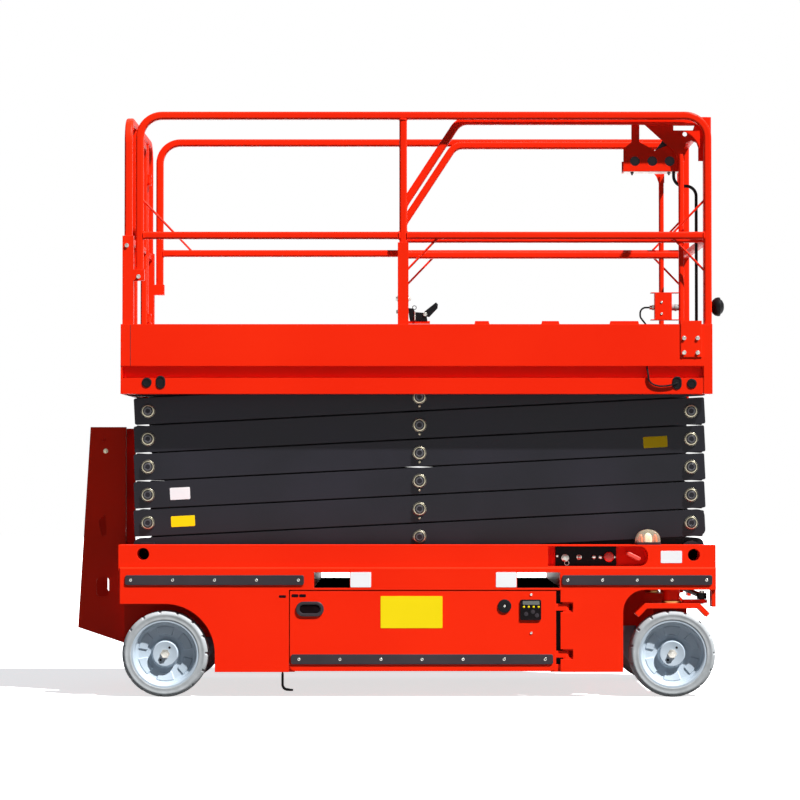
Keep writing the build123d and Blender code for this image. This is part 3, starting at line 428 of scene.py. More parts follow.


# Fork pockets, door corners and painted shade.
# The floors of the fork pockets and the backs of the tie-down eyes are flat black plates, painted shade for the
# dark inside.
# Red upstands close the lower corners of each tray door, and black plates set behind the gap at its hinges are
# painted shade for that gap.
for label, x0, x1 in (("rear", -0.374, -0.215), ("front", 0.525, 0.716)):
    # Painted shade on the pocket floor.
    put("pocket_shade_" + label, "chassis", plaque(x1 - x0 - 0.001, 1.216, 0.0004, 0.0006, 0.0002),
        [((x0 + x1) / 2, 0.0, 0.4831)], UP, SHADE_BLACK)
rear_upstand = plaque(0.030, 0.034, 0.001, 0.008, 0.001)
front_upstand = plaque(0.062, 0.034, 0.001, 0.008, 0.001)
gap_shade_back = plaque(0.028, 0.354, 0.001, 0.003, 0.0005)
GAP_SHADE_WEBS = ((0.115, 0.166), (0.214, 0.374), (0.422, 0.469))
eye_shade = lathe([(26.2, 0), (26.2, 0.6), (25.5, 1)], 36)
EYES = ((-1.132, 0.633), (1.310, 0.629))
EYE_DEPTH = 0.5051
UPSTAND_Y = 0.6005
UPSTAND_Z = 0.1282
GAP_SHADE_Y = 0.585
WEB_Y = 0.588
for side, axes, hand in SIDES:
    corners = [shell(rear_upstand, [(-0.4735, side * UPSTAND_Y, UPSTAND_Z)], axes),
               shell(front_upstand, [(0.704, side * UPSTAND_Y, UPSTAND_Z)], axes)]
    add_piece("door_upstands_" + hand, "chassis", corners, RED_POWDER)
    # Painted shade behind the door gap, broken where the hinge straps pass.
    gap_shade = [shell(gap_shade_back, [(0.712, side * GAP_SHADE_Y, 0.292)], axes)]
    for z0, z1 in GAP_SHADE_WEBS:
        web = plaque(0.006, z1 - z0, 0.001, 0.0208, 0.0005)
        gap_shade.append(shell(web, [(0.7225, side * WEB_Y, (z0 + z1) / 2)], axes))
    add_piece("door_gap_shade_" + hand, "chassis", gap_shade, BLACK_RUBBER)
    # Painted shade inside the tie-down eyes.
    put("tie_down_shades_" + hand, "chassis", eye_shade, [(x, side * EYE_DEPTH, z) for x, z in EYES], axes,
        SHADE_BLACK)


# Ladder.
# Two folded and tapered side sheets with four folded steps welded between them, all red; the steps are dimpled
# for grip, and a plated stop bolt sits in the upper part of each side sheet.
paint(RED_POWDER, "ladder")
dimple = lathe([(7.5, -0.3), (6, 1.2), (3.5, 1.8)], 10)
grips = [(x, y, 0.328 + 0.285 * k) for k in range(4) for x in np.linspace(-1.422 + 0.015 * k, -1.306, 5)
         for y in np.linspace(-0.225, 0.225, 16)]
put("step_dimples", "chassis", dimple, grips, UP, RED_POWDER)


def bolts(across, high, washer, places, axes):
    """Hexagon heads with chamfered crowns on round washers, sized in millimetres, at each place."""
    crown = lathe([(across * 0.48, high)], 6)
    hexagon = np.concatenate([lathe([(across * 0.577, 0.0), (across * 0.577, high * 0.85)], 6), crown])
    disc = lathe([(washer, -0.5), (washer, 1.2), (washer - 0.6, 1.8)], 20)
    return [shell(hexagon + np.array([0, 0, 0.0016]), places, axes), shell(disc, places, axes)]


# Yellow passivated zinc: brassy and slightly cloudy.
YELLOW_ZINC = surface("yellow_passivated_zinc", ("#8c8672", "#a49e8a"), 0.02, 0.002, 0.36, metallic=0.9,
                      bump=0.05)
stops = []
for side, axes, hand in SIDES:
    stops += bolts(13, 8.5, 11, [(-1.334, side * 0.256, 1.092)], axes)
add_piece("ladder_stop_bolts", "chassis", stops, YELLOW_ZINC)


# Axles and steering.
# Fabricated red yokes on king pins with bronze thrust rings, and a red rear axle beam; the tie rod and the
# ribbed drive motors are painted black.
# Brushed enamel: black with a satin sheen and light dust, and a paler line on the edges that is partly wear and
# partly a painted highlight.
BLACK_PAINT = surface("satin_enamel_black", ("#0c0c0e", "#151517"), 0.3, 0.004, 0.44, bump=0.08,
                      wear_and_highlight="#38383c", shine=0.08)
# Cast bronze: warm, dull, slightly pitted.
BRONZE = surface("cast_bronze", ("#b5824a", "#c9975c"), 0.02, 0.002, 0.35, metallic=1.0, bump=0.05)
paint(RED_POWDER, "knuckle_right", "knuckle_left", "rear_axle")
paint(BLACK_PAINT, "tie_rod")
REAR_AXLE_X = -1.035
FRONT_AXLE_X = 1.215
WHEEL_Y = 0.5515
AXLE_Z = 0.1905
thrust = lathe([(36, 0), (43, 0), (43.2, 2), (43.2, 8), (43, 10), (36, 10)], 40)
ribs = [(65.5 if k % 2 else 60, 30 + 4 * (k + e)) for k in range(15) for e in (0.15, 0.85)]
motor = lathe([(69.5, 0), (69.5, 22), (64, 26)] + ribs
              + [(68, 95), (68, 112), (60, 122), (30, 126.5), (0.5, 127)], 40)
box = plaque(0.055, 0.060, 0.006, 0.012, 0.002)
link = bolts(19, 10, 17, [(1.350, side * WHEEL_Y, 0.458) for side in (-1, 1)], UP)
add_piece("tie_rod_nuts", "tie_rod", link, ZINC)
for side, axes, hand in SIDES:
    body = "knuckle_" + hand
    inward = LEFT if side < 0 else RIGHT
    put("thrust_ring_" + hand, body, thrust, [(FRONT_AXLE_X, side * WHEEL_Y, 0.414)], UP, BRONZE,
        caps=False)
    case = [shell(motor, [(FRONT_AXLE_X, side * (WHEEL_Y - 0.096), AXLE_Z)], inward),
            shell(box, [(FRONT_AXLE_X, side * (WHEEL_Y - 0.175), AXLE_Z + 0.0575)], UP)]
    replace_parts(add_piece("ribbed_motor_" + hand, body, case, BLACK_PAINT), "drive_motor_" + hand)


# Tyres.
# Solid non-marking rubber pressed on the rims: shallow notches are moulded in both shoulders and a raised band
# runs round each side wall.
# Filled rubber without carbon black: pale grey, matt, scuffed and a little darker in patches.
GREY_RUBBER = surface("nonmarking_rubber_grey", ("#a0a4a5", "#b2b6b8"), 0.05, 0.003, 0.78, bump=0.22,
                      edge=0.001, shine=0.15)
NOTCHES = 15
NOTCH_STEPS = 16
NOTCH_DEPTH = 0.0060


def tyre_surface():
    """A profile of radius against width turned round the axle; near the shoulders the radius drops inside
    narrow angular windows, which makes the notches."""
    half = np.array([(0.150, 0.060), (0.1515, 0.0622), (0.155, 0.0630), (0.158, 0.0622), (0.168, 0.0625),
                     (0.171, 0.0634), (0.175, 0.0635), (0.1785, 0.0622), (0.1845, 0.058), (0.1888, 0.051),
                     (0.1902, 0.044), (0.19048, 0.030)])
    profile = np.concatenate([half * [1, -1], half[::-1]])
    turns = NOTCHES * NOTCH_STEPS
    angle = np.arange(turns) * 2 * math.pi / turns
    window = ((np.arange(turns) % NOTCH_STEPS) < 2).astype(float)
    shoulder = ((np.abs(profile[:, 1]) > 0.040) & (profile[:, 0] > 0.180)).astype(float)
    radius = profile[:, None, 0] - NOTCH_DEPTH * shoulder[:, None] * window[None]
    width = np.repeat(profile[:, 1:], turns, axis=1)
    return np.stack([radius * np.cos(angle), radius * np.sin(angle), width], axis=-1)


TYRE = tyre_surface()


# Rims.
# Pressed steel discs: a deep dish with raised wedge panels, a ring round the hub, a castle nut and two dowel
# holes, drawn as dark discs painted as the shade inside them.
# Silver enamel: cool pale grey, smooth and nearly matt.
SILVER_ENAMEL = surface("silver_enamel", ("#aebbc6", "#bcc8d2"), 0.2, 0.004, 0.40, bump=0.04, edge=0.0012,
                        shine=0.2)
PANELS = 6
PANEL_RISE = 0.0050
HUB_FACE = 0.037
DOWEL_R = 0.034
DOWEL_ANGLE = 0.95


def rim_surface():
    """A dish of depth against radius turned round the axle, outward face first and then the back; between two
    radii the dish is raised inside angular windows with soft edges, which makes the wedge panels."""
    radius = np.concatenate([np.linspace(0.0005, 0.050, 4), [0.054, 0.0565, 0.0575, 0.0585],
                             np.linspace(0.062, 0.132, 36),
                             [0.1345, 0.1365, 0.142, 0.1495, 0.150, 0.150, 0.138, 0.137]])
    knots = np.array([(0.0, HUB_FACE), (0.046, HUB_FACE), (0.050, 0.040), (0.054, 0.040), (0.0565, 0.037),
                      (0.0575, 0.034), (0.0585, 0.012), (0.066, 0.006), (0.072, 0.008), (0.118, 0.022),
                      (0.132, 0.032), (0.1345, 0.046), (0.1365, 0.055), (0.142, 0.0605)])
    depth = np.interp(radius, knots[:, 0], knots[:, 1])
    depth[-5:] = [0.0605, 0.0605, -0.060, -0.060, -0.002]
    turns = 180
    angle = np.arange(turns) * 2 * math.pi / turns
    phase = np.abs(((angle * PANELS / (2 * math.pi)) % 1.0) - 0.5)
    wedge = np.clip((0.32 - phase) / 0.02, 0, 1)
    band = np.clip((radius - 0.082) / 0.003, 0, 1) * np.clip((0.122 - radius) / 0.003, 0, 1)
    raised = depth[:, None] + PANEL_RISE * band[:, None] * wedge[None]
    return np.stack([radius[:, None] * np.cos(angle), radius[:, None] * np.sin(angle), raised], axis=-1)


def rim_back():
    """The rim's inner side: web, hub barrel and bore, turned round the axle."""
    return lathe([(137, -2), (66, -14), (64, -16), (64, -52), (31, -52)], 180)


RIM = np.concatenate([rim_surface(), rim_back()])
HUB_NUT = np.concatenate([lathe([(21, 0), (21, 3)], 24)[:, ::4],
                          lathe([(17, 3), (17, 14), (12, 15.5), (9, 15.5), (9, 18), (8.5, 18.5)], 6)])
dowel = lathe([(5.5, -2), (5.5, 0.6), (4.5, 0.9)], 12)
for side, axes, hand in SIDES:
    for x, end in ((REAR_AXLE_X, "rear"), (FRONT_AXLE_X, "front")):
        tail = end + "_" + hand
        body = "wheel_" + tail
        hub = (x, side * WHEEL_Y, AXLE_Z)
        face = side * (WHEEL_Y + HUB_FACE)
        tyre = put("grey_tyre_" + tail, body, TYRE, [hub], axes, GREY_RUBBER, caps=False, sharp=28)
        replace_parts(tyre, "tyre_" + tail)
        rim = put("dish_rim_" + tail, body, RIM, [hub], axes, SILVER_ENAMEL, sharp=30)
        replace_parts(rim, "rim_" + tail)
        put("hub_nut_" + tail, body, HUB_NUT, [(x, face, AXLE_Z)], axes, ZINC)
        # Painted shade: dark discs where the dowel holes are.
        holes = [(x + DOWEL_R * math.cos(a), face, AXLE_Z + DOWEL_R * math.sin(a))
                 for a in (DOWEL_ANGLE, DOWEL_ANGLE + math.pi)]
        put("dowel_hole_shades_" + tail, body, dowel, holes, axes, SHADE_BLACK)


# Swing-out trays.
# Red folded doors with a shelf behind. Each door has an oval hand latch, a round cap, a key panel and a screwed
# rubbing strip along its foot.
# Glass of a small display: dark grey with a faint green, glossy.
DISPLAY = surface("display_glass", ("#4b514c", "#585e58"), 0.05, 0.004, 0.20, coat=0.1, bump=0.01, edge=0.0005)
paint(RED_POWDER, "tray_right", "tray_left")
pull = rounded_stack((0.124, 0.066, 0.0325, 0.0), (0.124, 0.066, 0.0325, 0.004), (0.118, 0.060, 0.0295, 0.0068),
                     (0.098, 0.044, 0.0215, 0.0068), (0.092, 0.038, 0.0185, 0.0020))
pocket = plaque(0.090, 0.036, 0.0175, 0.0024, 0.0002)
cap = lathe([(30, 0), (30, 3), (27, 5.8), (12, 6.6), (10.5, 4.8), (0.4, 4.8)], 40)
KEY_LEVEL = 0.0050
bezel = rounded_stack((0.093, 0.091, 0.008, 0.0), (0.093, 0.091, 0.008, 0.0048), (0.089, 0.087, 0.006, 0.0066),
                      (0.085, 0.083, 0.004, 0.0066), (0.083, 0.081, 0.004, KEY_LEVEL))
window = plaque(0.074, 0.017, 0.002, 0.0010, 0.0003)
lamp = lathe([(4.8, 0), (4.8, 1), (3, 1.6), (0.3, 1.8)], 16)
button = lathe([(9.5, 0), (9.5, 1), (8, 1.7), (0.3, 1.4)], 20)
SMALL_SCREW = lathe([(5.8, -0.5), (5.8, 1), (4.4, 2.6), (2.4, 3), (2.2, 1.8), (0.3, 1.8)], 14)
FOOT_STRIP_Z = 0.168
LATCH_X, LATCH_Z = -0.392, 0.390
CAP_X, CAP_Z = 0.470, 0.403
BUTTONS = ((0.565, 0.368), (0.595, 0.378), (0.613, 0.362))
for side, axes, hand in SIDES:
    body = "tray_" + hand
    face = side * PLATE_FACE
    level = side * (PLATE_FACE + KEY_LEVEL)
    foot_strip = put("door_strip_" + hand, body, rubbing_strip(1.161), [(0.1045, face, FOOT_STRIP_Z)], axes,
                     BLACK_NYLON)
    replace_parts(foot_strip, "tray_trim_" + hand)
    screws = [(x, side * SCREW_FACE, FOOT_STRIP_Z) for x in np.linspace(-0.4405, 0.6495, 7)]
    put("door_strip_screws_" + hand, body, SCREW, screws, axes, ZINC)
    put("door_latch_" + hand, body, pull, [(LATCH_X, face, LATCH_Z)], axes, BLACK_NYLON)
    # The latch's pocket is a flat black plate, painted shade for the hollow behind the handle.
    put("latch_pocket_shade_" + hand, body, pocket, [(LATCH_X, face, LATCH_Z)], axes, SHADE_BLACK)
    put("door_cap_" + hand, body, cap, [(CAP_X, face, CAP_Z)], axes, BLACK_RUBBER)
    put("key_panel_" + hand, body, bezel, [(0.5855, face, 0.3865)], axes, LAMINATE)
    put("key_panel_glass_" + hand, body, window, [(0.5875, level, 0.4175)], axes, DISPLAY)
    lamps = [(x, level, 0.3995) for x in np.linspace(0.5555, 0.6205, 4)]
    put("key_panel_lamps_" + hand, body, lamp, lamps, axes, YELLOW_VINYL)
    put("key_panel_buttons_" + hand, body, button, [(x, level, z) for x, z in BUTTONS], axes, BLACK_NYLON)
    small = [(0.588, face, 0.454), (0.588, face, 0.284), (CAP_X, side * (PLATE_FACE + 0.0038), CAP_Z)]
    put("door_screws_" + hand, body, SMALL_SCREW, small, axes, ZINC)


# Batteries.
# Four traction batteries on the right-hand tray: polypropylene cases with a stepped lid, vent caps, lead posts
# and flat link bars from post to post.
# Moulded polypropylene: dark grey, waxy and dull, with a paler line on the edges that is partly wear and partly a
# painted highlight.
BATTERY_CASE = surface("polypropylene_grey", ("#34353a", "#3d3e44"), 0.2, 0.004, 0.5, bump=0.1, wear_and_highlight="#55565c")
# Cast lead: soft grey metal, dull.
LEAD = surface("cast_lead", ("#8b8d90", "#9c9ea1"), 0.03, 0.003, 0.45, metallic=0.8, bump=0.08)
SHELF_Y = 0.470
SHELF_Z = 0.128
JAR_TOP = 0.368
JAR_XS = (-0.280, -0.040, 0.200, 0.440)
POST_Y = -0.545
POST_OUT = 0.085
jar_case = rounded_stack((0.226, 0.208, 0.008, 0.0), (0.230, 0.212, 0.010, 0.200), (0.236, 0.218, 0.010, 0.204),
                         (0.236, 0.218, 0.010, 0.232), (0.228, 0.210, 0.008, 0.240))
jars = put("battery_cases", "tray_right", jar_case, [(x, -SHELF_Y, SHELF_Z) for x in JAR_XS], UP,
           BATTERY_CASE)
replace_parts(jars, "battery_pack")
vent = lathe([(16, 0), (16, 8), (13, 11), (6, 11.5), (0.3, 11.5)], 18)
vents = [(x + dx, -SHELF_Y, JAR_TOP) for x in JAR_XS for dx in (-0.065, 0.0, 0.065)]
put("battery_vents", "tray_right", vent, vents, UP, YELLOW_VINYL)
post = lathe([(11, 0), (9, 6), (8.5, 14), (7, 15.5)], 16)
posts = [(x + dx, POST_Y, JAR_TOP) for x in JAR_XS for dx in (-POST_OUT, POST_OUT)]
bar_link = plaque(0.082, 0.020, 0.008, 0.004, 0.001)
links = [shell(bar_link, [(x + 0.120, POST_Y, 0.376) for x in JAR_XS[:3]], UP)]
add_piece("battery_posts", "tray_right", [shell(post, posts, UP)] + links, LEAD)


# Power unit.
# Hydraulic tank, electric pump and charger on the left-hand tray: a welded tank with a filler cap, a ribbed
# pump motor lying on its valve block, and a finned charger.
tank = rounded_stack((0.510, 0.212, 0.022, 0.0), (0.520, 0.220, 0.026, 0.010), (0.520, 0.220, 0.026, 0.196),
                     (0.506, 0.206, 0.020, 0.204))
filler = lathe([(34, 0), (34, 14), (30, 24), (10, 27), (0.4, 27)], 30)
unit = put("oil_tank", "tray_left", tank, [(-0.140, SHELF_Y, SHELF_Z)], UP, BLACK_PAINT)
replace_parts(unit, "power_unit")
put("oil_filler", "tray_left", filler, [(-0.320, SHELF_Y, 0.332)], UP, YELLOW_ZINC)
fins = [(78 if k % 2 else 72, 20 + 8 * (k + e)) for k in range(15) for e in (0.1, 0.9)]
pump_motor = lathe([(74, 0), (78, 6), (78, 18)] + fins + [(78, 145), (70, 158), (20, 164), (0.4, 164)], 36)
block = plaque(0.110, 0.150, 0.004, 0.120, 0.003)
charger = rounded_stack((0.160, 0.205, 0.010, 0.0), (0.160, 0.205, 0.010, 0.112), (0.152, 0.197, 0.006, 0.118))
put("pump_motor", "tray_left", pump_motor, [(0.185, SHELF_Y, 0.215)], FRONT, BLACK_PAINT)
# Die-cast aluminium: pale grey, slightly grainy.
CAST_ALLOY = surface("die_cast_aluminium", ("#8e9194", "#a0a3a6"), 0.04, 0.003, 0.42, metallic=0.85, bump=0.1)
fin = plaque(0.004, 0.190, 0.0015, 0.022, 0.0008)
put("valve_block", "tray_left", block, [(0.235, SHELF_Y, SHELF_Z)], UP, CAST_ALLOY)
add_piece("charger", "tray_left", [shell(charger, [(0.450, SHELF_Y, SHELF_Z)], UP),
                                   shell(fin, [(x, SHELF_Y, 0.244) for x in np.linspace(0.385, 0.515, 12)], UP)],
          CAST_ALLOY)


# Scissor arms.
# Rectangular steel tubes in charcoal enamel. Each pin has a dark round head in a coned, yellow-plated ring, and
# a grease nipple is screwed into the arm under every centre pin.
LEVELS = 6
paint(CHARCOAL_PAINT, *[kind + str(k + 1) for k in range(LEVELS) for kind in ("outer_arm_", "inner_arm_")])
paint(BLACK_NYLON, "lower_rollers", "upper_rollers")
# Phosphated steel: dark grey, slightly rough, a soft metallic glint.
PHOSPHATE = surface("phosphated_steel", ("#3c3c3f", "#4d4d50"), 0.02, 0.002, 0.38, metallic=0.8, bump=0.05)
PIN_REAR = -1.123
PIN_FRONT = 1.312
PIN_MID = (PIN_REAR + PIN_FRONT) / 2
PIN_FIRST = 0.643
PITCH = 0.1254
NIPPLE_DROP = 0.041
pin_ring = closed(lathe([(21.5, 0.5), (30.8, 0.5), (31.2, 2), (30.8, 5), (25, 9.2), (22.5, 9.5),
                         (21.5, 8.5)], 36))
pin_plate = lathe([(30.2, 0.6), (30.2, 5), (22.2, 8.2), (0.4, 8.2)], 32)
pin_head = lathe([(18.5, 7), (18.5, 16.5), (17, 18.8), (11, 19), (10.2, 16.5), (0.4, 16.5)], 24)
nipple = lathe([(5.5, -0.5), (5.5, 3), (3.2, 3.6), (3.2, 7), (4.2, 8.5), (2.8, 10.5), (0.3, 11)], 12)
for level in range(1, LEVELS + 1):
    low = PIN_FIRST + PITCH * (level - 1)
    middle = low + PITCH / 2
    stations = [(PIN_MID, middle)]
    if level < LEVELS:
        stations.append((PIN_REAR, low + PITCH))
    if level > 1:
        stations.append((PIN_FRONT, low))
    for side, axes, hand in SIDES:
        at = [(x, side * ARM_FACE, z) for x, z in stations]
        tail = "%d_%s" % (level, hand)
        body = "inner_" + str(level)
        put("pin_rings_" + tail, body, pin_ring, at, axes, YELLOW_ZINC, caps=False)
        put("pin_plates_" + tail, body, pin_plate, at, axes, DARK_STEEL)
        put("pin_heads_" + tail, body, pin_head, at, axes, PHOSPHATE)
        put("grease_nipple_" + tail, "outer_" + str(level), nipple,
            [(PIN_MID, side * ARM_FACE, middle - NIPPLE_DROP)], axes, YELLOW_ZINC)


# Lift cylinders.
# Black painted barrels with a plated gland at the mouth, and hard-chromed rods. The eyes of each cylinder lie
# on the arms, one reach away from the centre pins.
# Hard chrome: mirror-like with a faint grain.
CHROME = surface("hard_chrome", ("#cfd1d4", "#dfe1e3"), 0.1, 0.002, 0.12, metallic=1.0, bump=0.02)
paint(BLACK_PAINT, "lower_cylinder_barrel", "upper_cylinder_barrel")
paint(CHROME, "lower_cylinder_rod", "upper_cylinder_rod")
gland = closed(lathe([(37.5, -4), (56, -4), (56, 6), (52, 10), (37.5, 10)], 40))
EYE_REACH = 1.015
GLAND_BACK = 0.240
tilt = math.radians(ARM_TILT)
run, rise = EYE_REACH * math.cos(tilt), EYE_REACH * math.sin(tilt)
for level, name in ((1, "lower"), (4, "upper")):
    pivot = np.array([PIN_MID - run, 0.0, PIN_FIRST + PITCH * (level - 0.5) + rise])
    eye = np.array([PIN_MID + run, 0.0, PIN_FIRST + PITCH * (level + 1.5) - rise])
    length = np.linalg.norm(eye - pivot)
    axis = (eye - pivot) / length
    put(name + "_gland", name + "_barrel", gland, [pivot + axis * (length - GLAND_BACK)], facing(*axis), ZINC,
        caps=False)


# Platform.
# Folded red side beams with toe boards. Rubber plugs and grommets close the holes in the beams, hexagon bolts
# hold the front corner plates, and the floor is aluminium tread plate.
# Rolled aluminium: cool grey and dull.
TREAD_PLATE = surface("rolled_aluminium", ("#7b7d80", "#8a8c8f"), 0.35, 0.004, 0.60, metallic=0.5, bump=0.06)
paint(RED_POWDER, "platform_frame")
paint(TREAD_PLATE, "main_deck")
BEAM_FACE = 0.575
TOE_FACE = 0.577
CORNER_FACE = 0.581
POST_FACE = 0.571
PLATE_BOLT = (13, 5.5, 9.5)
plug = lathe([(22, 0), (22, 2), (19, 4), (14, 4.2), (13, 2.5), (0.4, 2.5)], 28)
grommet = rounded_stack((0.042, 0.058, 0.020, 0.0), (0.042, 0.058, 0.020, 0.0018), (0.037, 0.053, 0.018, 0.0034),
                        (0.029, 0.045, 0.014, 0.0034), (0.027, 0.043, 0.013, 0.0010))
seam = plaque(0.002, 0.183, 0.0005, 0.0004, 0.0001)
for side, axes, hand in SIDES:
    beam = side * BEAM_FACE
    put("beam_plugs_" + hand, "platform", plug, [(1.306, beam, 1.390), (-1.120, beam, 1.395)], axes,
        BLACK_RUBBER)
    put("beam_grommets_" + hand, "platform", grommet, [(1.240, beam, 1.393), (-1.0585, beam, 1.396)], axes,
        BLACK_RUBBER)
    corner = [(x, side * CORNER_FACE, z) for x in (1.272, 1.332) for z in (1.528, 1.593)]
    add_piece("corner_bolts_" + hand, "platform", bolts(*PLATE_BOLT, corner, axes), ZINC)
    put("toe_board_seam_" + hand, "platform", seam, [(-1.193, side * TOE_FACE, 1.5615)], axes, DARK_STEEL)
    rear = [(-1.2105, side * POST_FACE, 2.007), (-1.1585, side * POST_FACE, 1.868)]
    add_piece("frame_bolts_" + hand, "platform", bolts(*PLATE_BOLT, rear, axes), ZINC)
TREAD_PITCH = 0.034
LANE_HALF = 0.030


def add_tread(name, body, x0, x1, y0, y1, z, lanes):
    """Raised bars on a square lattice, turned either way chequerwise, with the lanes of the slide strips left
    bare."""
    columns, rows = np.arange(x0, x1, TREAD_PITCH), np.arange(y0, y1, TREAD_PITCH)
    spot = np.stack(np.meshgrid(columns, rows, indexing="ij"), axis=-1)
    odd = (np.indices(spot.shape[:2]).sum(axis=0) % 2).astype(bool)
    free = (np.abs(spot[..., 1, None] - np.array(lanes)) > LANE_HALF).all(axis=-1)
    place = np.concatenate([spot, np.full(spot.shape[:2] + (1,), z)], axis=-1)
    oval = circle(1.0, 8)
    bar = stack((oval * [0.0135, 0.0042], -0.0002), (oval * [0.0090, 0.0020], 0.0014))
    add_piece(name, body, [shell(bar, place[free & odd], turned(UP, 45)),
                           shell(bar, place[free & ~odd], turned(UP, -45))], TREAD_PLATE)


add_tread("deck_tread", "platform", -1.160, 1.380, -0.505, 0.510, 1.500, (-0.440, 0.0, 0.440))


# Guardrails and gate.
# Square steel tube, bent at the corners, welded at every joint and powder coated with the rest; the middle
# posts are bolted through their sleeves.
paint(RED_POWDER, "guardrails", "entry_gate")
RAIL_Y = 0.549
END_X = -1.205
weld = hoop(rounded_outline(0.0345, 0.0345, 0.010, 5), 0.0030, 6, 0.22)
gate_weld = hoop(rounded_outline(0.029, 0.029, 0.009, 5), 0.0028, 6, 0.22)
welds = []
for side in (-1, 1):
    y = side * RAIL_Y
    middle_posts = [(0.021, y, 2.5700)] + [(END_X, side * 0.300, z) for z in (2.5520, 1.5020)]
    welds.append(shell(weld, [(x, y, 2.052) for x in (-1.1370, 0.0030, 0.0390, 1.3620)], FRONT, caps=False))
    welds.append(shell(weld, middle_posts, UP, caps=False))
    welds.append(shell(weld, [(END_X, side * out, 2.030) for out in (0.3180, 0.5260)], RIGHT, caps=False))
add_piece("rail_welds", "platform", welds, RED_POWDER, 60)
gate_corners = [(END_X, y, z) for y in (0.224, -0.246) for z in (2.040, 1.572)]
put("gate_welds", "gate", gate_weld, gate_corners, RIGHT, RED_POWDER, caps=False, sharp=60)
through = bolts(17, 7, 13, [(-0.003, side * RAIL_Y, 1.770) for side in (-1, 1)], REAR)
through += bolts(17, 9, 13, [(0.045, side * RAIL_Y, 1.770) for side in (-1, 1)], FRONT)
add_piece("sleeve_bolts", "platform", through, ZINC)


# Extension.
# The roll-out deck of tread plate with its own welded rails; black hoses and cables run to the controls.
paint(RED_POWDER, "extension_rails", "control_cradle", "outlet_box")
paint(TREAD_PLATE, "extension_deck")
paint(BLACK_RUBBER, "extension_cables", "beam_cable")
add_tread("extension_tread", "extension", 0.060, 1.360, -0.455, 0.475, 1.514, ())
INNER_RAIL_Y = 0.500
welds = []
for side in (-1, 1):
    y = side * INNER_RAIL_Y
    welds.append(shell(weld, [(0.0400, y, 2.040), (1.3645, y, 2.040)], FRONT, caps=False))
    welds.append(shell(weld, [(1.383, side * 0.4815, z) for z in (2.040, 2.570)], RIGHT, caps=False))
add_piece("extension_welds", "extension", welds, RED_POWDER, 60)


# Control console.
# A moulded black box in the red cradle: a laminate face with rubber buttons, a mushroom stop button and a wedge
# hand grip; a plated floor plate is bolted under the cradle.
paint(BLACK_NYLON, "control_console")
CONSOLE_Y = -0.4305
FACE_Z = 2.443
put("console_face", "extension", plaque(0.126, 0.078, 0.006, 0.003, 0.0008), [(1.0865, CONSOLE_Y, 2.440)], UP,
    LAMINATE)
soft_key = lathe([(8.5, 0), (8.5, 3), (7, 5), (0.3, 5.5)], 18)
keys = [(x, y, FACE_Z) for x in (1.092, 1.114, 1.136) for y in (-0.448, -0.413)]
put("console_keys", "extension", soft_key, keys, UP, BLACK_RUBBER)
put("console_stop", "extension", STOP_BUTTON, [(1.052, CONSOLE_Y, FACE_Z)], UP, STOP_RED)
put("grip_pad", "extension", plaque(0.034, 0.036, 0.004, 0.003, 0.001), [(1.2315, CONSOLE_Y, 2.458)], FRONT,
    BLACK_RUBBER)
put("cradle_floor", "extension", plaque(0.244, 0.098, 0.004, 0.0015, 0.0004), [(1.136, CONSOLE_Y, 2.346)],
    DOWN, ZINC)
# The three slots are thin dark plates under the floor plate, painted shade for the openings.
slots = [(x, CONSOLE_Y, 2.3447) for x in (1.090, 1.135, 1.180)]
put("cradle_slot_shades", "extension", plaque(0.022, 0.008, 0.0035, 0.0004, 0.0001), slots, DOWN, DARK_STEEL)
tip = lathe([(7.5, 0), (7.5, 6), (6.5, 6.5), (4, 6.5), (4, 13), (3, 14)], 6)
tips = [(x, -0.455, 2.3448) for x in (1.051, 1.2165)]
put("cradle_bolts", "extension", tip, tips, DOWN, DARK_STEEL)


# Outlet box.
# A folded red box on the extension's front leg, with two face screws, a plated cable gland on one side and a
# pale plastic connector on the other.
# Pale polycarbonate: warm grey, smooth.
PALE_PLASTIC = surface("polycarbonate_grey", ("#8f8c8a", "#9d9a98"), 0.05, 0.003, 0.4, bump=0.03, shine=0.2)
OUTLET_Y = -0.495
OUTLET_Z = 1.733
put("outlet_screws", "extension", SMALL_SCREW, [(1.177, -0.520, z) for z in (1.756, 1.7045)], RIGHT, ZINC)
hex_nut = np.concatenate([lathe([(9.8, -22), (9.8, -12)], 24)[:, ::4], lathe([(13, -11), (13, -1)], 6)])
put("cable_gland", "extension", hex_nut, [(1.147, OUTLET_Y, OUTLET_Z)], FRONT, ZINC)
coupler = lathe([(13.5, 0.3), (13.5, 14), (16, 15), (16, 22), (13.5, 23), (13, 31.5)], 28)
put("outlet_connector", "extension", coupler, [(1.223, OUTLET_Y, OUTLET_Z)], FRONT, PALE_PLASTIC)


# Deck latch and horn.
# A black spring latch with a plated plunger and pivot and a dark pull ring; the horn is a black cup on the post.
paint(BLACK_PAINT, "deck_latch")
put("latch_ring", "extension", hoop(circle(0.0085), 0.0017), [(0.0715, -INNER_RAIL_Y, 1.7325)], RIGHT,
    PHOSPHATE, caps=False)
pivot_cap = lathe([(10, 0), (10, 2), (8, 4.5), (3, 5.2), (0.3, 5.2)], 20)
put("latch_pivot", "extension", pivot_cap, [(0.1195, -0.512, 1.7015)], RIGHT, ZINC)
plunger = lathe([(4.5, 0), (5, 1), (5, 22), (3.5, 24), (3.5, 34), (4.5, 35), (4.5, 41)], 16)
put("latch_plunger", "extension", plunger, [(0.0735, -0.5135, 1.673)], UP, ZINC)
cup = lathe([(16, 0), (30, 6), (40, 18), (43, 30), (42, 38), (38, 40), (36, 38.5), (28, 49), (15, 55.5),
             (0.4, 56.7)], 44)
horn = put("horn_cup", "extension", cup, [(1.401, -INNER_RAIL_Y, 1.736)], FRONT, BLACK_PAINT)
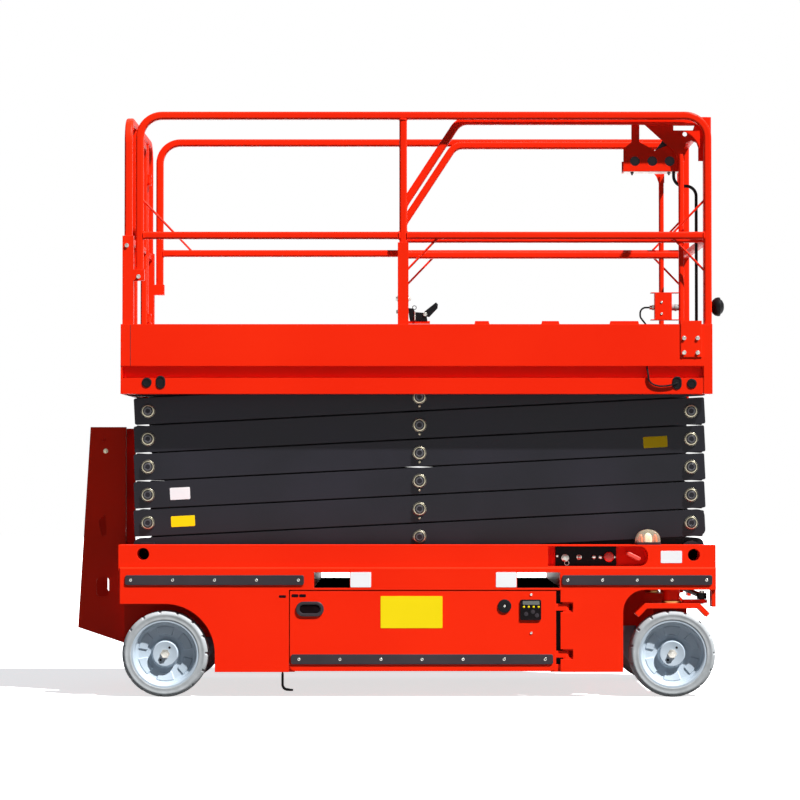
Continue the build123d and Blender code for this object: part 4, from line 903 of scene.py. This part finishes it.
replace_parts(horn, "front_horn")


# Floor, light and camera.
# A pale studio floor, a hard sun from the upper front right, and a long lens at the photograph's angle.
def seen_rays(tree):
    """One for rays that show the background to the camera, straight, mirrored or through glass, else zero."""
    rays = node(tree, "ShaderNodeLightPath")
    mirrored = node(tree, "ShaderNodeMath", {"operation": "MAXIMUM"},
                    {0: (rays, "Is Camera Ray"), 1: (rays, "Is Glossy Ray")})
    return node(tree, "ShaderNodeMath", {"operation": "MAXIMUM"},
                {0: (mirrored, "Value"), 1: (rays, "Is Transmission Ray")})


FLOOR_HALF = 30.0
floor_mesh = bpy.data.meshes.new("studio_floor")
floor_mesh.from_pydata([(x * FLOOR_HALF, y * FLOOR_HALF, 0) for x, y in ((-1, -1), (1, -1), (1, 1), (-1, 1))], [],
                       [(0, 1, 2, 3)])
floor = bpy.data.objects.new("studio_floor", floor_mesh)
bpy.context.scene.collection.objects.link(floor)
floor_paint = bpy.data.materials.new("pale_studio_floor")
floor_paint.use_nodes = True
tree = floor_paint.node_tree
seen = seen_rays(tree)
tone = node(tree, "ShaderNodeMix", {"data_type": "RGBA", 6: linear("#525252"), 7: linear("#f4f4f4")},
            {0: (seen, "Value")})
lift = node(tree, "ShaderNodeMapRange", {"To Min": 0.0, "To Max": 0.70}, {"Value": (seen, "Value")})
shader = tree.nodes["Principled BSDF"]
tree.links.new(tone.outputs[2], shader.inputs["Base Color"])
tree.links.new(lift.outputs["Result"], shader.inputs["Emission Strength"])
shader.inputs["Emission Color"].default_value = (1.0, 1.0, 1.0, 1.0)
shader.inputs["Roughness"].default_value = 0.9
shader.inputs["Specular IOR Level"].default_value = 0.0
floor_mesh.materials.append(floor_paint)

world = bpy.data.worlds.new("studio")
bpy.context.scene.world = world
world.use_nodes = True
tree = world.node_tree
seen = seen_rays(tree)
glow = node(tree, "ShaderNodeMapRange", {"To Min": 0.12, "To Max": 1.0}, {"Value": (seen, "Value")})
sky = node(tree, "ShaderNodeMix", {"data_type": "RGBA", 6: linear("#c3d4f2"), 7: linear("#ffffff")},
           {0: (seen, "Value")})
tree.links.new(sky.outputs[2], tree.nodes["Background"].inputs["Color"])
tree.links.new(glow.outputs["Result"], tree.nodes["Background"].inputs["Strength"])

sun = bpy.data.lights.new("sun", "SUN")
sun.energy = 7.7
sun.angle = math.radians(1.2)
sun_lamp = bpy.data.objects.new("sun", sun)
bpy.context.scene.collection.objects.link(sun_lamp)
sun_lamp.rotation_euler = Vector((0.45, -0.35, 0.82)).to_track_quat("Z", "Y").to_euler()

camera = bpy.data.cameras.new("camera")
camera.lens = 132.0
camera.sensor_width = 36.0
camera_object = bpy.data.objects.new("camera", camera)
bpy.context.scene.collection.objects.link(camera_object)
camera_object.location = (0.007, -13.625, 1.010)
camera_object.rotation_euler = (math.radians(90 + 1.347), 0, 0)
bpy.context.scene.camera = camera_object
bpy.context.scene.view_settings.view_transform = "Standard"
